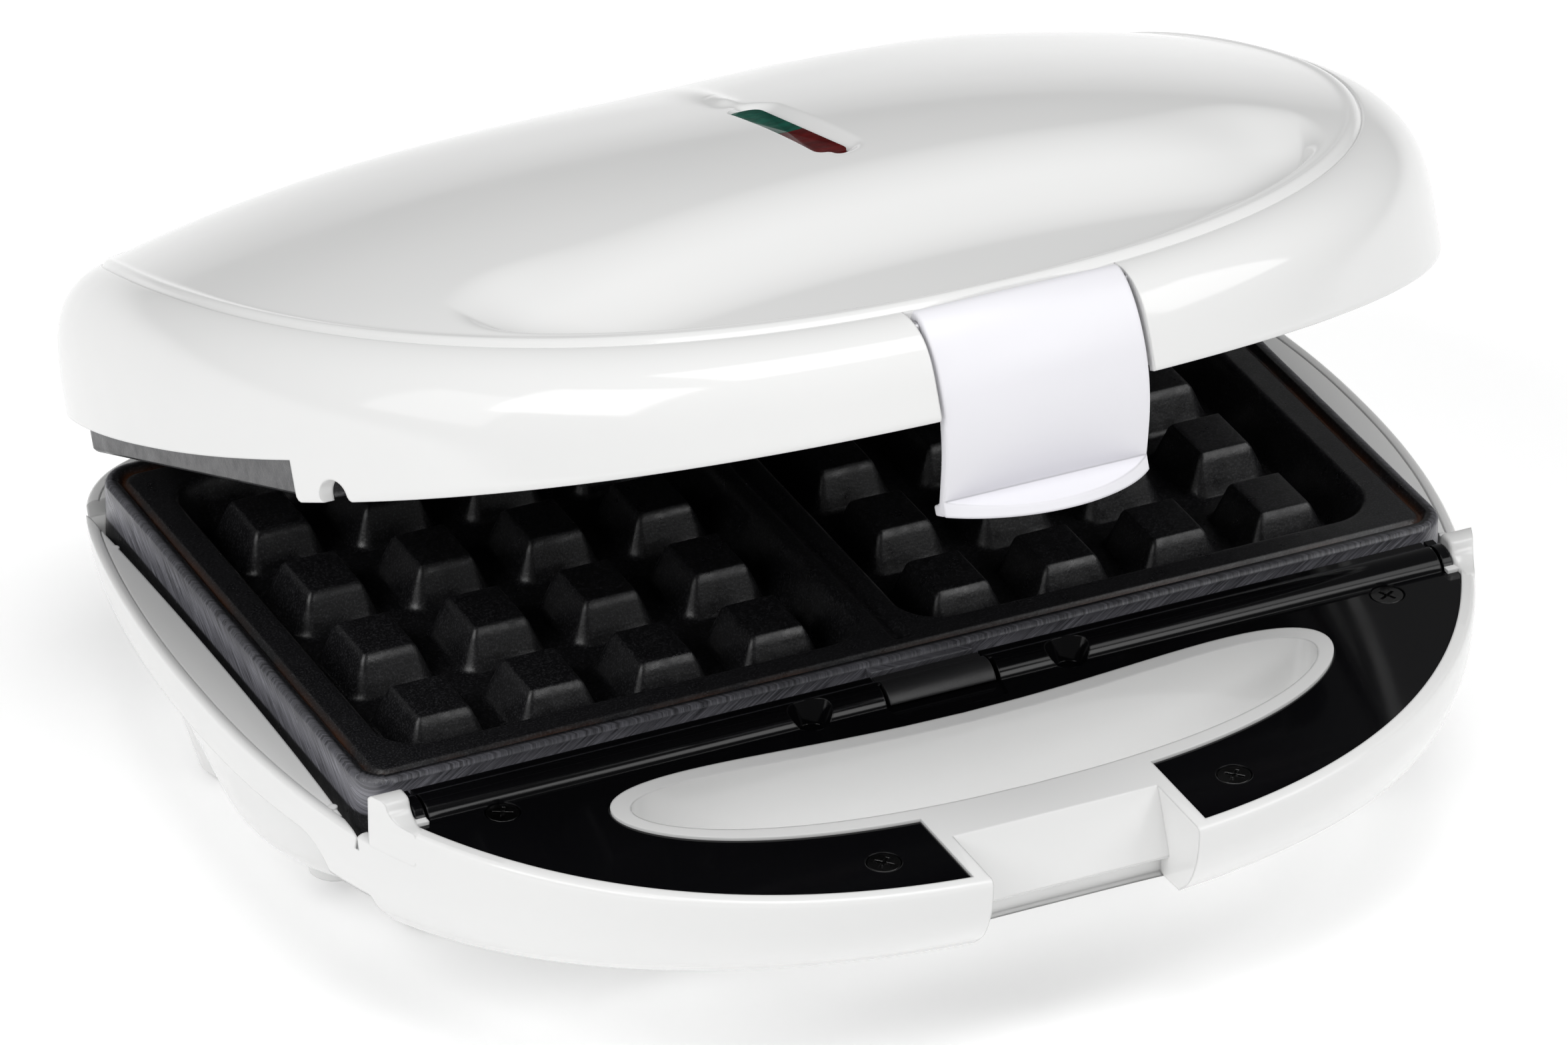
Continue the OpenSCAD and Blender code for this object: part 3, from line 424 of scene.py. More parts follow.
def metal(name, lo, hi, rough_lo, rough_hi, scale=(1, 1, 1)):
    """Bare or blackened metal: drift of tone, patchy gloss and a fine grain."""
    m, nt, bsdf = material(name, hi, rough_lo, Metallic=1.0)
    v = coords(nt, scale)
    nt.links.new(ramp(nt, noise(nt, v, 40, 4), [(0.3, lo), (0.7, hi)]), bsdf.inputs["Base Color"])
    rough_between(nt, bsdf, noise(nt, v, 160, 3), rough_lo, rough_hi)
    bump(nt, bsdf, noise(nt, v, 900, 2), 0.3, 0.00003, 0.0002)
    return m


steel = metal("steel", (0.5, 0.5, 0.51), (0.62, 0.62, 0.63), 0.22, 0.34)
black_steel = metal("black_steel", (0.07, 0.07, 0.07), (0.13, 0.13, 0.13), 0.2, 0.34)
sheet = metal("reflector", (0.6, 0.6, 0.61), (0.72, 0.72, 0.73), 0.2, 0.36, (1, 8, 1))
sheath = metal("sheath", (0.16, 0.11, 0.08), (0.3, 0.26, 0.22), 0.35, 0.55)


def nonstick():
    """Black non-stick coating with a fine sparkle; uncoated scratched metal where grinding took the coating off the
    casting's wall, and a strip of that metal along the top edge that is partly real scratched wear and partly a
    painted highlight.
    """
    m, nt, bsdf = material("nonstick", (0.012, 0.012, 0.013), 0.34)
    v = coords(nt)
    fleck = noise(nt, v, 2600, 1)
    base = ramp(nt, fleck, [(0.5, (0.008, 0.008, 0.009)), (0.72, (0.035, 0.035, 0.038))])
    strokes = nt.nodes.new("ShaderNodeCombineXYZ")
    for k, direction in enumerate(((55, 55, 65), (-1500, -1500, 2100))):
        dot = nt.nodes.new("ShaderNodeVectorMath")
        dot.operation = "DOT_PRODUCT"
        nt.links.new(v, dot.inputs[0])
        dot.inputs[1].default_value = direction
        nt.links.new(dot.outputs["Value"], strokes.inputs[k])
    streak = noise(nt, strokes.outputs[0], 1.0, 5, 0.7)
    # Colour of the uncoated scratched metal; along the plate's top edge it also serves as a painted highlight
    bare_metal_and_highlight = ramp(nt, streak, [(0.38, (0.06, 0.06, 0.068)), (0.55, (0.19, 0.19, 0.215)), (0.75, (0.45, 0.45, 0.5))])
    # Mask of the uncoated metal: the scratched facet on the wall, and a strip along the top edge that is partly
    # scratched wear and partly a painted highlight
    ground_and_edge_highlight = nt.nodes.new("ShaderNodeAttribute")
    ground_and_edge_highlight.attribute_name = "ground_and_edge_highlight"
    mix = nt.nodes.new("ShaderNodeMix")
    mix.data_type = "RGBA"
    nt.links.new(ground_and_edge_highlight.outputs["Fac"], mix.inputs["Factor"])
    nt.links.new(base, mix.inputs[6])
    nt.links.new(bare_metal_and_highlight, mix.inputs[7])
    stain = nt.nodes.new("ShaderNodeAttribute")
    stain.attribute_name = "stain"
    gate = nt.nodes.new("ShaderNodeMath")
    gate.operation = "MULTIPLY"
    nt.links.new(stain.outputs["Fac"], gate.inputs[0])
    nt.links.new(ramp(nt, noise(nt, v, 60, 4), [(0.42, (0, 0, 0)), (0.6, (1, 1, 1))]), gate.inputs[1])
    mix2 = nt.nodes.new("ShaderNodeMix")
    mix2.data_type = "RGBA"
    mix2.inputs[7].default_value = (0.07, 0.024, 0.008, 1)
    nt.links.new(gate.outputs[0], mix2.inputs["Factor"])
    nt.links.new(mix.outputs[2], mix2.inputs[6])
    nt.links.new(mix2.outputs[2], bsdf.inputs["Base Color"])
    rough_between(nt, bsdf, noise(nt, v, 300, 3), 0.26, 0.42)
    bump(nt, bsdf, noise(nt, v, 1600, 2), 0.35, 0.00008, 0.0005)
    return m


coating = nonstick()


def lens_material(name, colour):
    """Dark tinted lens with a faint pebbled back."""
    m, nt, bsdf = material(name, colour, 0.1)
    bsdf.inputs["Specular IOR Level"].default_value = 0.02
    v = coords(nt)
    dark = tuple(c * 0.5 for c in colour)
    nt.links.new(ramp(nt, noise(nt, v, 260, 2), [(0.35, dark), (0.7, colour)]), bsdf.inputs["Base Color"])
    rough_between(nt, bsdf, noise(nt, v, 500, 2), 0.06, 0.14)
    bump(nt, bsdf, noise(nt, v, 700, 2), 0.2, 0.00004)
    return m


green = lens_material("green_lens", (0.002, 0.072, 0.048))
red = lens_material("red_lens", (0.085, 0.004, 0.004))
lamp = lens_material("lamp", (0.7, 0.4, 0.25))

looks = {"white_gloss": white, "white_satin": satin, "inner_white": inner, "black_gloss": gloss,
         "black_matte": matte, "nonstick": coating, "steel": steel, "black_steel": black_steel,
         "reflector": sheet, "sheath": sheath, "cream": cream, "rubber": rubber,
         "green_lens": green, "red_lens": red, "lamp": lamp}
for sub in frame["record"]["subparts"]:
    ob = nodes[sub["node"]]
    ob.data.materials.clear()
    ob.data.materials.append(looks[sub["material_slot"]])

# ---- Lid ----
# Share of the wall's height downwards from its lower edge, and the inset there
LID_WALL = [[0, 0.7], [0.02, 0.25], [0.05, 0.02], [0.1, 0]]


def lid_inset(f):
    """Inset of the lid's wall at the share f of its height: straight, then rounded over to the edge bead."""
    t = np.clip((f - 0.1) / 0.9, 0, 1)
    return CREASE * (1 - (1 - t ** 4.4) ** 0.75)


def lid_rings(t, low):
    """Rings of the lid's surface moved in by t, from its lower edge at the height low to the middle of its top."""
    fs = np.concatenate([[0, 0.015, 0.04, 0.07, 0.1],
                         0.1 + 0.9 * np.sin(np.linspace(0.04, 1, 18 * FINE) * math.pi / 2)])
    rings = []
    base = plan(CREASE, N)
    crease = lid_top(base[:, 0], base[:, 1])
    for f in fs:
        d = float(curve_through(LID_WALL, [f])[0]) if f < 0.1 else float(lid_inset(f))
        rings.append(at(plan(d + t, N), low + (crease - low) * f - (t if f > 0.9 else 0)))
    for r in np.concatenate([np.linspace(0.9985, 0.955, 22), np.linspace(0.95, 0.75, 32 * FINE),
                             np.linspace(0.745, 0.01, 50 * FINE)]):
        x, y = base[:, 0] * r, WAIST_Y + (base[:, 1] - WAIST_Y) * r
        rings.append(np.column_stack([x, y, lid_top(x, y) - t]))
    return rings


def slot_outline(r, y0, y1, n=16):
    """Slot of half width r along Y with rounded corners at its ends."""
    a = np.linspace(0, math.pi, n)
    c = np.sign(np.cos(a)) * np.abs(np.cos(a)) ** 0.7
    return np.vstack([np.stack([r * c, y1 - r + r * np.sin(a) ** 0.7], 1),
                      np.stack([-r * c, y0 + r - r * np.sin(a) ** 0.7], 1)])


def make_lens(name, y0, y1, look, node):
    """The part between y0 and y1 of the lens strip, sunk a little in the window."""
    outline = slot_outline(LENS_HW, LENS_Y0 - 0.2, LENS_Y1 + 0.2)
    body = skin(name, [np.column_stack([outline, top_z(outline[:, 0], outline[:, 1]) + z]) for z in (-2.8, -0.6)])
    combine(body, "INTERSECT", box("half", -5, 5, y0, y1, MEET_Z, MEET_Z + 90))
    return finish_piece(body, name, "lid", look, node, lid=True)


def make_lid():
    """The lid's shell: its wall is short beside the plate, and cut out for the latch, horns, window and hinge."""
    wide, pocket_y = HALF_WIDTH + 5, PIVOT_Y + 3.5
    hw = LATCH_HW + 0.9
    shell = skin("lid", lid_rings(0, SKIRT_Z))
    hollow = skin("hollow", lid_rings(WALL, SKIRT_Z - 3))
    cut(hollow, box("pocket", -hw - WALL, hw + WALL, FRONT_Y, pocket_y + WALL, SKIRT_Z + 1, MEET_Z + 60))
    cut(shell, hollow)
    cut(shell, box("side", -wide, wide, STEP_Y, HINGE_Y + 40, SKIRT_Z - 5, SIDE_Z))

    def notch():
        r, x0 = 3.4, HALF_WIDTH - 25
        n = tube("notch", (x0, HORN_Y, SKIRT_Z + 1), "x", r, 40)
        return join(n, box("slot", x0 + 0.1, x0 + 39.9, HORN_Y - r, HORN_Y + r, SKIRT_Z - 5, SKIRT_Z + 1.01))
    cut(shell, *mirrored(notch))
    cut(shell, box("recess", -hw, hw, FRONT_Y - 5, pocket_y, SKIRT_Z - 5, PIVOT_Z + 12))
    cut(shell, prism("window", slot_outline(LENS_HW + 0.2, LENS_Y0 - 0.4, LENS_Y1 + 0.4), MEET_Z + 20, MEET_Z + 80))
    cut(shell, *mirrored(lambda: box("hinge", HINGE_X - 0.6, HINGE_X + 22, HINGE_Y - 9, HINGE_Y + 9,
                                     SKIRT_Z, SIDE_Z + 1)))
    return finish_piece(shell, "lid_cover", "lid", white, "lid_shell", lid=True)


# ---- Base ----
# Share of the wall's height downwards from its upper edge, and the inset there
BASE_WALL = [[0, 0.9], [0.02, 0.25], [0.07, 0], [0.3, 0.35], [0.55, 1.6], [0.8, 4], [1, 7.6]]
PAN_WALL = [[0, 0.9], [0.22, 1.6], [0.45, 3.8], [0.66, 8.5], [0.83, 15], [0.95, 21], [1, 26]]
# Share of the pan's height, and how much further its sides are tucked in there behind the handle
PAN_TUCK = [[0, 0], [0.22, 3.4], [0.45, 4.6], [0.66, 4.0], [0.83, 2.0], [0.95, 0], [1, 0]]


def handle_drop(x):
    """Height of the handle's wall: least in the middle."""
    return PART_DROP + 4.5 + 10.5 * np.minimum(1, np.abs(x) / 110) ** 3


def base_outer():
    """Solid block with the outer form of the base."""
    fs = np.concatenate([np.linspace(0, 0.07, 8), np.linspace(0.07, 1, 16 * FINE)[1:]])[::-1]
    rings = []
    for f in fs:
        p = plan(float(curve_through(BASE_WALL, [f])[0]), N)
        rings.append(at(p, RIM_Z - f * handle_drop(p[:, 0])))
    return skin("base", rings)


def above_deck():
    """What is cut away over the deck: it leaves a rounded outer edge and a fine seam beside it."""
    def under(d, drop):
        p = plan(d, N)
        return at(p, DECK_Z + DECK_SLOPE * np.maximum(0, np.abs(p[:, 0]) - OPENING_HW) - drop)
    r = 1.5
    roll = [(d, r - math.sqrt(r * r - (r - d) ** 2)) for d in (1.5, 1.2, 0.9, 0.6, 0.35, 0.15, 0.03)]
    rings = [under(60, 0), under(2.35, 0), under(2.2, 0.35), under(2.05, 0)] + [under(d, z) for d, z in roll]
    block = skin("above", rings + [under(-4, r), at(plan(-4, N), RIM_Z + 5), at(plan(60, N), RIM_Z + 5)])
    return combine(block, "INTERSECT", box("rear", -HALF_WIDTH - 9, HALF_WIDTH + 9, HORN_Y + 1.5, 200, 0, 90))


def horn():
    """Peg at the end of the handle, with a rounded hollow in front of it and a low tab beside it."""
    x1 = HALF_WIDTH - 6
    hollow = [(HORN_Y - 7.2 + 4.6 * math.cos(a), RIM_Z + 3.4 - 3.2 * math.sin(a)) for a in np.linspace(0.1, 1.5, 9)]
    h = along_x("horn", HALF_WIDTH - 16.9, x1, [
        (HORN_Y + 1.8, DECK_Z - 1), (HORN_Y + 1.8, RIM_Z + 3), (HORN_Y + 1.5, RIM_Z + 3.7),
        (HORN_Y + 0.8, RIM_Z + 4), (HORN_Y - 1.4, RIM_Z + 4), (HORN_Y - 2.2, RIM_Z + 3.7), *hollow,
        (HORN_Y - 9, RIM_Z + 0.1), (HORN_Y - 9, DECK_Z - 1)])
    bevelled(h, 0.7, 40)
    join(h, box("tab", HALF_WIDTH - 19.1, x1 - 4, HORN_Y - 6, HORN_Y - 3.4, RIM_Z - 1.5, RIM_Z + 0.2))
    return combine(h, "INTERSECT", prism("limit", plan(0.15, N), DECK_Z - 2, RIM_Z + 8))


def deck_pips():
    """Row of six small pips on the deck, beside the plate."""
    spots = [(OPENING_HW + 0.5, PLATE_Y0 + 8 + 20.8 * k, DECK_Z - 1) for k in range(6)]
    first, *rest = [tube("pip", c, "z", 0.9, 1.5, 24) for c in spots]
    return join(first, *rest)


def hinge_tower():
    r, length = 4.7, 12
    t = tube("tower", (HINGE_X, HINGE_Y, HINGE_Z), "x", r, length)
    return join(t, box("foot", HINGE_X + EPS, HINGE_X + length - EPS, HINGE_Y - r + 0.1, HINGE_Y + r - 0.1,
                       DECK_Z - WALL - 4, HINGE_Z))


def plate_seat():
    """Ledge and low wall round the opening, which hold the lower plate."""
    bottom, lip = MEET_Z - PLATE_T, 12
    y0, y1 = PLATE_Y0 - 2.1, PLATE_Y1 + 2.1
    seat = box("seat", -OPENING_HW - 2, OPENING_HW + 2, y0, y1 + 2, bottom - 2, DECK_Z - 0.5)
    cut(seat, box("a", -OPENING_HW, OPENING_HW, y0 - 0.1, y1, bottom, RIM_Z))
    cut(seat, box("b", -OPENING_HW + lip, OPENING_HW - lip, y0 + 9, y1 - 9, 0, RIM_Z))
    return combine(seat, "INTERSECT", prism("limit", plan(1.2, N), 0, RIM_Z))


def panel_trough():
    """Room for the black panel in the handle, which leaves the well's collar and the bridge before it."""
    seat, far = RIM_Z - 0.5 - PANEL_T, HALF_WIDTH + 1
    trough = prism("trough", plan(PANEL_INSET, N), seat, seat + 20)
    deep = prism("deep", plan(PANEL_INSET + 3.2, N), RIM_Z - 14, RIM_Z + 5)
    cut(deep, *mirrored(lambda: box("step", STEM_HW + 0.3, far, PANEL_BACK - 1.5, HINGE_Y + 40, 0, seat)))
    join(trough, deep)
    cut(trough, box("keep", -far, far, PLATE_Y0 - 2, HINGE_Y + 40, 0, 90))
    cut(trough, prism("collar", well(0), 0, 90))
    return cut(trough, box("bridge", -GAP_HW, GAP_HW, FRONT_Y - 5, WELL_Y - 8, 0, 90))


def latch_recess():
    """Room for the latch in the front of the handle, with the lip that its hook holds on to."""
    hw, top_y, far_y = LATCH_HW + 0.4, FRONT_Y + 18, FRONT_Y - 10
    return along_x("latch_recess", -hw, hw, [
        (far_y, RIM_Z + 5), (top_y, RIM_Z + 5), (top_y, RIM_Z), (top_y - 0.9, RIM_Z - 1.6),
        (CATCH_Y + 1, CATCH_Z + 2.5), (CATCH_Y, CATCH_Z), (CATCH_Y + 0.6, CATCH_Z - 0.7),
        (CATCH_Y + 3.6, CATCH_Z - 0.8), (CATCH_Y + 3.6, CATCH_Z - 5.2), (CATCH_Y + 1.5, CATCH_Z - 5.6),
        (CATCH_Y + 1.5, -1), (far_y, -1)])


def make_base():
    """Upper moulding of the base: handle with its well, decks beside the plate, seat, towers and horns."""
    base = base_outer()
    cut(base, above_deck())
    inside = prism("inside", plan(3.4, N), -1, DECK_Z - WALL)
    rear = WAIST_Y + REAR_REACH
    combine(inside, "INTERSECT", box("half", -HALF_WIDTH, HALF_WIDTH, PANEL_BACK + 2, rear, -2, DECK_Z))
    cut(base, inside)
    r, back = 6, PANEL_BACK + 13
    arc = [(back + r + r * math.cos(a), PART_Z - r + r * math.sin(a)) for a in np.linspace(math.pi, math.pi / 2, 17)]
    cut(base, along_x("parting", -HALF_WIDTH - 5, HALF_WIDTH + 5,
                      [(back, -1), *arc, (rear + 5, PART_Z), (rear + 5, -1)]))
    cut(base, panel_trough())
    cut(base, latch_recess())
    cut(base, prism("hole", well(COLLAR), -1, RIM_Z + 5))
    cut(base, box("opening", -OPENING_HW, OPENING_HW, PLATE_Y0 - 2.1, PLATE_Y1 + 2.1, DECK_Z - WALL - 1, RIM_Z + 5))
    join(base, plate_seat())
    join(base, *mirrored(hinge_tower))
    cut(base, *mirrored(lambda: box("slot", HINGE_X + 12, HINGE_X + 20.2, HINGE_Y - 5, HINGE_Y + 30,
                                    HINGE_Z - 5.1, RIM_Z + 5)))
    join(base, *mirrored(horn))
    join(base, *mirrored(deck_pips))
    return finish_piece(base, "base_cover", "base", white, "base_shell")


def make_pan():
    """Lower moulding, with its feet, the screws' bosses, the cord's hole and the vents."""
    def outline(d):
        return plan(d + 0.6, N, PAN_REACH, PAN_POWER, HALF_WIDTH, REAR_TAPER * 0.6)

    def ring(k, d):
        """The outline at the share k[0] of the height, tucked in by k[2] between the handle and the rear corner."""
        p = outline(k[1] + d)
        share = (smooth((p[:, 1] + 5) / 40) * smooth((92 - p[:, 1]) / 22))[:, None]
        p = p + (outline(k[1] + k[2] + d) - p) * share
        return at(p, PART_Z - 0.3 - k[0] * (PART_Z - 4.3) + (0 if k[0] == 0 else d * 0.9))
    prof = [(f, float(curve_through(PAN_WALL, [f])[0]), float(curve_through(PAN_TUCK, [f])[0]))
            for f in np.linspace(0, 1, 20 * FINE)]
    pan = skin("pan", [ring(k, 0) for k in reversed(prof)] + [ring(k, WALL) for k in prof])
    a = np.arange(48) * 2 * math.pi / 48
    for x, y in FOOT_SPOTS:
        flare = 1.1 if y > PLATE_CY else 0
        levels = ((8.2, 1.5), (8.5 + flare / 3, 1.9), (10.5 + flare, 11.5), (11.5 + flare, 16))
        r = [np.column_stack([x + q * np.cos(a), y + q * np.sin(a), np.full(48, z)]) for q, z in levels]
        join(pan, skin("foot", r))
    cut(pan, *[tube("pad", (x, y, -1), "z", 6.6, 4) for x, y in FOOT_SPOTS])
    bosses = [(s * (POST_X - dx), PLATE_CY + dy) for dx, dy in ((0, -20), (8, POST_Y)) for s in (-1, 1)]
    join(pan, *[tube("boss", (x, y, 4.6), "z", 5, 7.7) for x, y in bosses])
    cut(pan, *[tube("bore", (x, y, 0), "z", 3.3, 6.5) for x, y in bosses])
    cut(pan, tube("cord_hole", (HALF_WIDTH * 0.45, WAIST_Y + REAR_REACH - 22, 17), "y", 4, 30))
    cut(pan, *[box("vent", 12 * k - 1.5, 12 * k + 1.5, PLATE_CY - 20, PLATE_CY + 20, -1, 9) for k in range(-3, 4)])
    return finish_piece(pan, "pan_cover", "base", white, "base_pan")


def make_panel():
    """Black cover of the handle, a C round the well, with the roll and its clip along its back."""
    top = RIM_Z - 0.5
    out = prism("panel", plan(PANEL_INSET + 0.15, N), top - PANEL_T, top)
    cut(out, prism("w", well(-0.15), 0, 90))
    cut(out, box("back", -HALF_WIDTH - 1, HALF_WIDTH + 1, PANEL_BACK, 200, 0, 90))
    cut(out, box("gap", -GAP_HW - 0.15, GAP_HW + 0.15, FRONT_Y - 5, WELL_Y - 8.1, 0, 90))
    roll_hw = PLATE_HW - 5.5
    join(out, tube("roll", (-roll_hw, ROLL_Y, top - 1.6), "x", ROLL_R, 2 * roll_hw, 96))
    join(out, box("back_lip", -roll_hw + EPS, roll_hw - EPS, ROLL_Y, PANEL_BACK, top - PANEL_T + EPS, top + 1.8))
    cut(out, box("under", -HALF_WIDTH, HALF_WIDTH, ROLL_Y - 8, ROLL_Y + 12, top - 15, top - PANEL_T - 0.001))

    def scoop():
        a = np.arange(32) * 2 * math.pi / 32
        level = [(2.6, top - 1.9), (3.9, top + 1), (5.2, top + 4)]
        return skin("scoop", [at(np.stack([26.6 + q * np.cos(a), ROLL_Y - 2.6 + q * 0.9 * np.sin(a)], 1), z)
                              for q, z in level])
    cut(out, *mirrored(scoop))
    cut(out, box("catch", -CATCH_HW - 0.3, CATCH_HW + 0.3, ROLL_Y - 5, PANEL_BACK + 1, top, top + 8))
    cut(out, box("stem", -STEM_HW - 0.3, STEM_HW + 0.3, ROLL_Y - CATCH_TRAVEL, PANEL_BACK + 1, top - 5, top + 1))
    cut(out, *[tube("hole", (x, y, top - 1.2), "z", 3.4, 3) for x, y in PANEL_SCREWS])
    bay = [(-11.8, 0), (-11.8, -5), (-10.9, -8.2), (-9.8, -9), (10.4, -9), (11.2, -8.2), (11.8, -5), (11.8, 0)]
    cut(out, prism("bay", np.array([(x, ROLL_Y + y) for x, y in bay]), top - 0.6, top + 9))
    cut(out, *mirrored(lambda: box("groove", -roll_hw + 2, -roll_hw + 2.6, ROLL_Y - 4.8, PANEL_BACK + 1,
                                   top - 0.2, top + 5)))
    return finish_piece(out, "handle_panel", "base", gloss, "front_panel")


# ---- Latch ----
# (y, z) from the pivot: down the outside to the tab, then up the inside from the hook
LATCH_OUT = [[0.8, 3.4], [-1.2, 2.6], [-3.6, 0], [-5.4, -4], [-6.3, -8.5], [-6.4, -13], [-5.6, -18], [-3.4, -24],
             [0.2, -30.5], [2.2, -33.6]]
LATCH_IN = [[3.6, -35], [6.2, -35], [6.2, -33], [3.9, -32.7], [2.6, -30.4], [-0.9, -23.6], [-3, -17.2], [-3.7, -13],
            [-3.6, -8.5], [-2.6, -4], [-1.4, -1.6], [2.1, -1.6], [2.6, 1.8]]


def spline(points, n):
    """Smooth curve through points: n steps between each two."""
    p = np.array(points, float)
    p = np.vstack([2 * p[0] - p[1], p, 2 * p[-1] - p[-2]])
    out = []
    for i in range(1, len(p) - 2):
        for t in np.arange(n) / n:
            a, b, c, d = p[i - 1:i + 3]
            square, cube = 2 * a - 5 * b + 4 * c - d, 3 * b - a - 3 * c + d
            out.append(0.5 * (2 * b + (c - a) * t + square * t**2 + cube * t**3))
    return np.array(out + [p[-2]])


def bevelled(ob, width, angle):
    """Rounds the edges of ob that are sharper than angle to the width."""
    mod = ob.modifiers.new("bevel", "BEVEL")
    mod.width, mod.segments, mod.limit_method, mod.angle_limit = width * MM, 3, "ANGLE", math.radians(angle)
    me = bpy.data.meshes.new_from_object(ob.evaluated_get(bpy.context.evaluated_depsgraph_get()))
    ob.modifiers.clear()
    ob.data = me
    return ob


def make_latch():
    """Curved lever on the lid's front, with a D-shaped pull tab and a hook behind it."""
    profile = np.vstack([spline(LATCH_OUT, 5), LATCH_IN[0:4], spline(LATCH_IN[4:11], 5), LATCH_IN[11:]])
    profile = profile + np.array([PIVOT_Y, PIVOT_Z])
    body = bevelled(along_x("latch", -LATCH_HW, LATCH_HW, profile), 0.45, 50)
    r = 27
    half = math.asin(LATCH_HW / r) * 0.999
    arc = [(r * math.sin(q), PIVOT_Y + r - 8 - r * math.cos(q)) for q in np.linspace(-half, half, 48)]
    tab = prism("tab", np.array(arc + [(LATCH_HW, PIVOT_Y + 4), (-LATCH_HW, PIVOT_Y + 4)]), PIVOT_Z - 40, PIVOT_Z - 30)
    slab = [(4, -32.6), (1.6, -32), (-12, -36), (-12, -37.6), (4, -34.4)]
    combine(tab, "INTERSECT", along_x("slab", -LATCH_HW - 1, LATCH_HW + 1,
                                      [(PIVOT_Y + y, PIVOT_Z + z) for y, z in slab]))
    join(body, tab)
    cut(body, tube("pin", (-LATCH_HW - 1, PIVOT_Y, PIVOT_Z), "x", 1.55, 2 * LATCH_HW + 2))
    return finish_piece(body, "latch_lever", "latch", satin, "latch", lid=True)


# ---- Plates ----
def rect_depth(x, y, hx, hy, r):
    """Distance inside a rectangle with round corners."""
    qx, qy = np.abs(x) - hx + r, np.abs(y) - hy + r
    return r - np.hypot(np.maximum(qx, 0), np.maximum(qy, 0)) - np.minimum(np.maximum(qx, qy), 0)


def soft_clamp(t, k=0.12):
    """t held between 0 and 1 with rounded corners."""
    t = np.where(np.abs(t) < k, (t + k) ** 2 / (4 * k), np.maximum(t, 0))
    u = 1 - t
    return 1 - np.where(np.abs(u) < k, (u + k) ** 2 / (4 * k), np.maximum(u, 0))


def plate_top(x, y):
    """Height of a plate's working face under its rim: rim, channel, rib in the middle, two moulds with studs."""
    d = rect_depth(x, y, PLATE_HW, PLATE_HD, PLATE_R)
    z = -0.15 - (1.1 - np.sqrt(np.maximum(1.21 - np.maximum(1.1 - d, 0) ** 2, 0)))
    z = z - 1.3 * smooth(1 - np.abs(d - 3.5) / 1.3) - 0.35 * smooth((d - 3.5) / 1.5)
    z = z - 1.4 * smooth(1 - np.abs(x) / 2.2) * smooth((PLATE_HD - 6 - np.abs(y)) / 2)
    px, py = (MOULD_W - 4) / STUDS, (MOULD_D - 4) / STUDS
    for side in (-1, 1):
        u, v = x - side * (MOULD_W / 2 + 4.5), y
        depth = (MOULD_DEPTH - 0.5) * soft_clamp(rect_depth(u, v, MOULD_W / 2, MOULD_D / 2, 9) / 3.6, 0.3)
        stud = 0
        for i in range(STUDS):
            for j in range(STUDS):
                cx, cy = (i - (STUDS - 1) / 2) * px * 0.97, (j - (STUDS - 1) / 2) * py * 0.97
                qx, qy = np.abs(u - cx) - px / 2 + 6.5, np.abs(v - cy) - py / 2 + 6.5
                q = np.hypot(np.maximum(qx, 0), np.maximum(qy, 0)) + np.minimum(np.maximum(qx, qy), 0)
                stud = np.maximum(stud, soft_clamp(1 - q / 3.5, 0.14))
        z = z - np.maximum(depth - 8.0 * stud, 0)
    return z


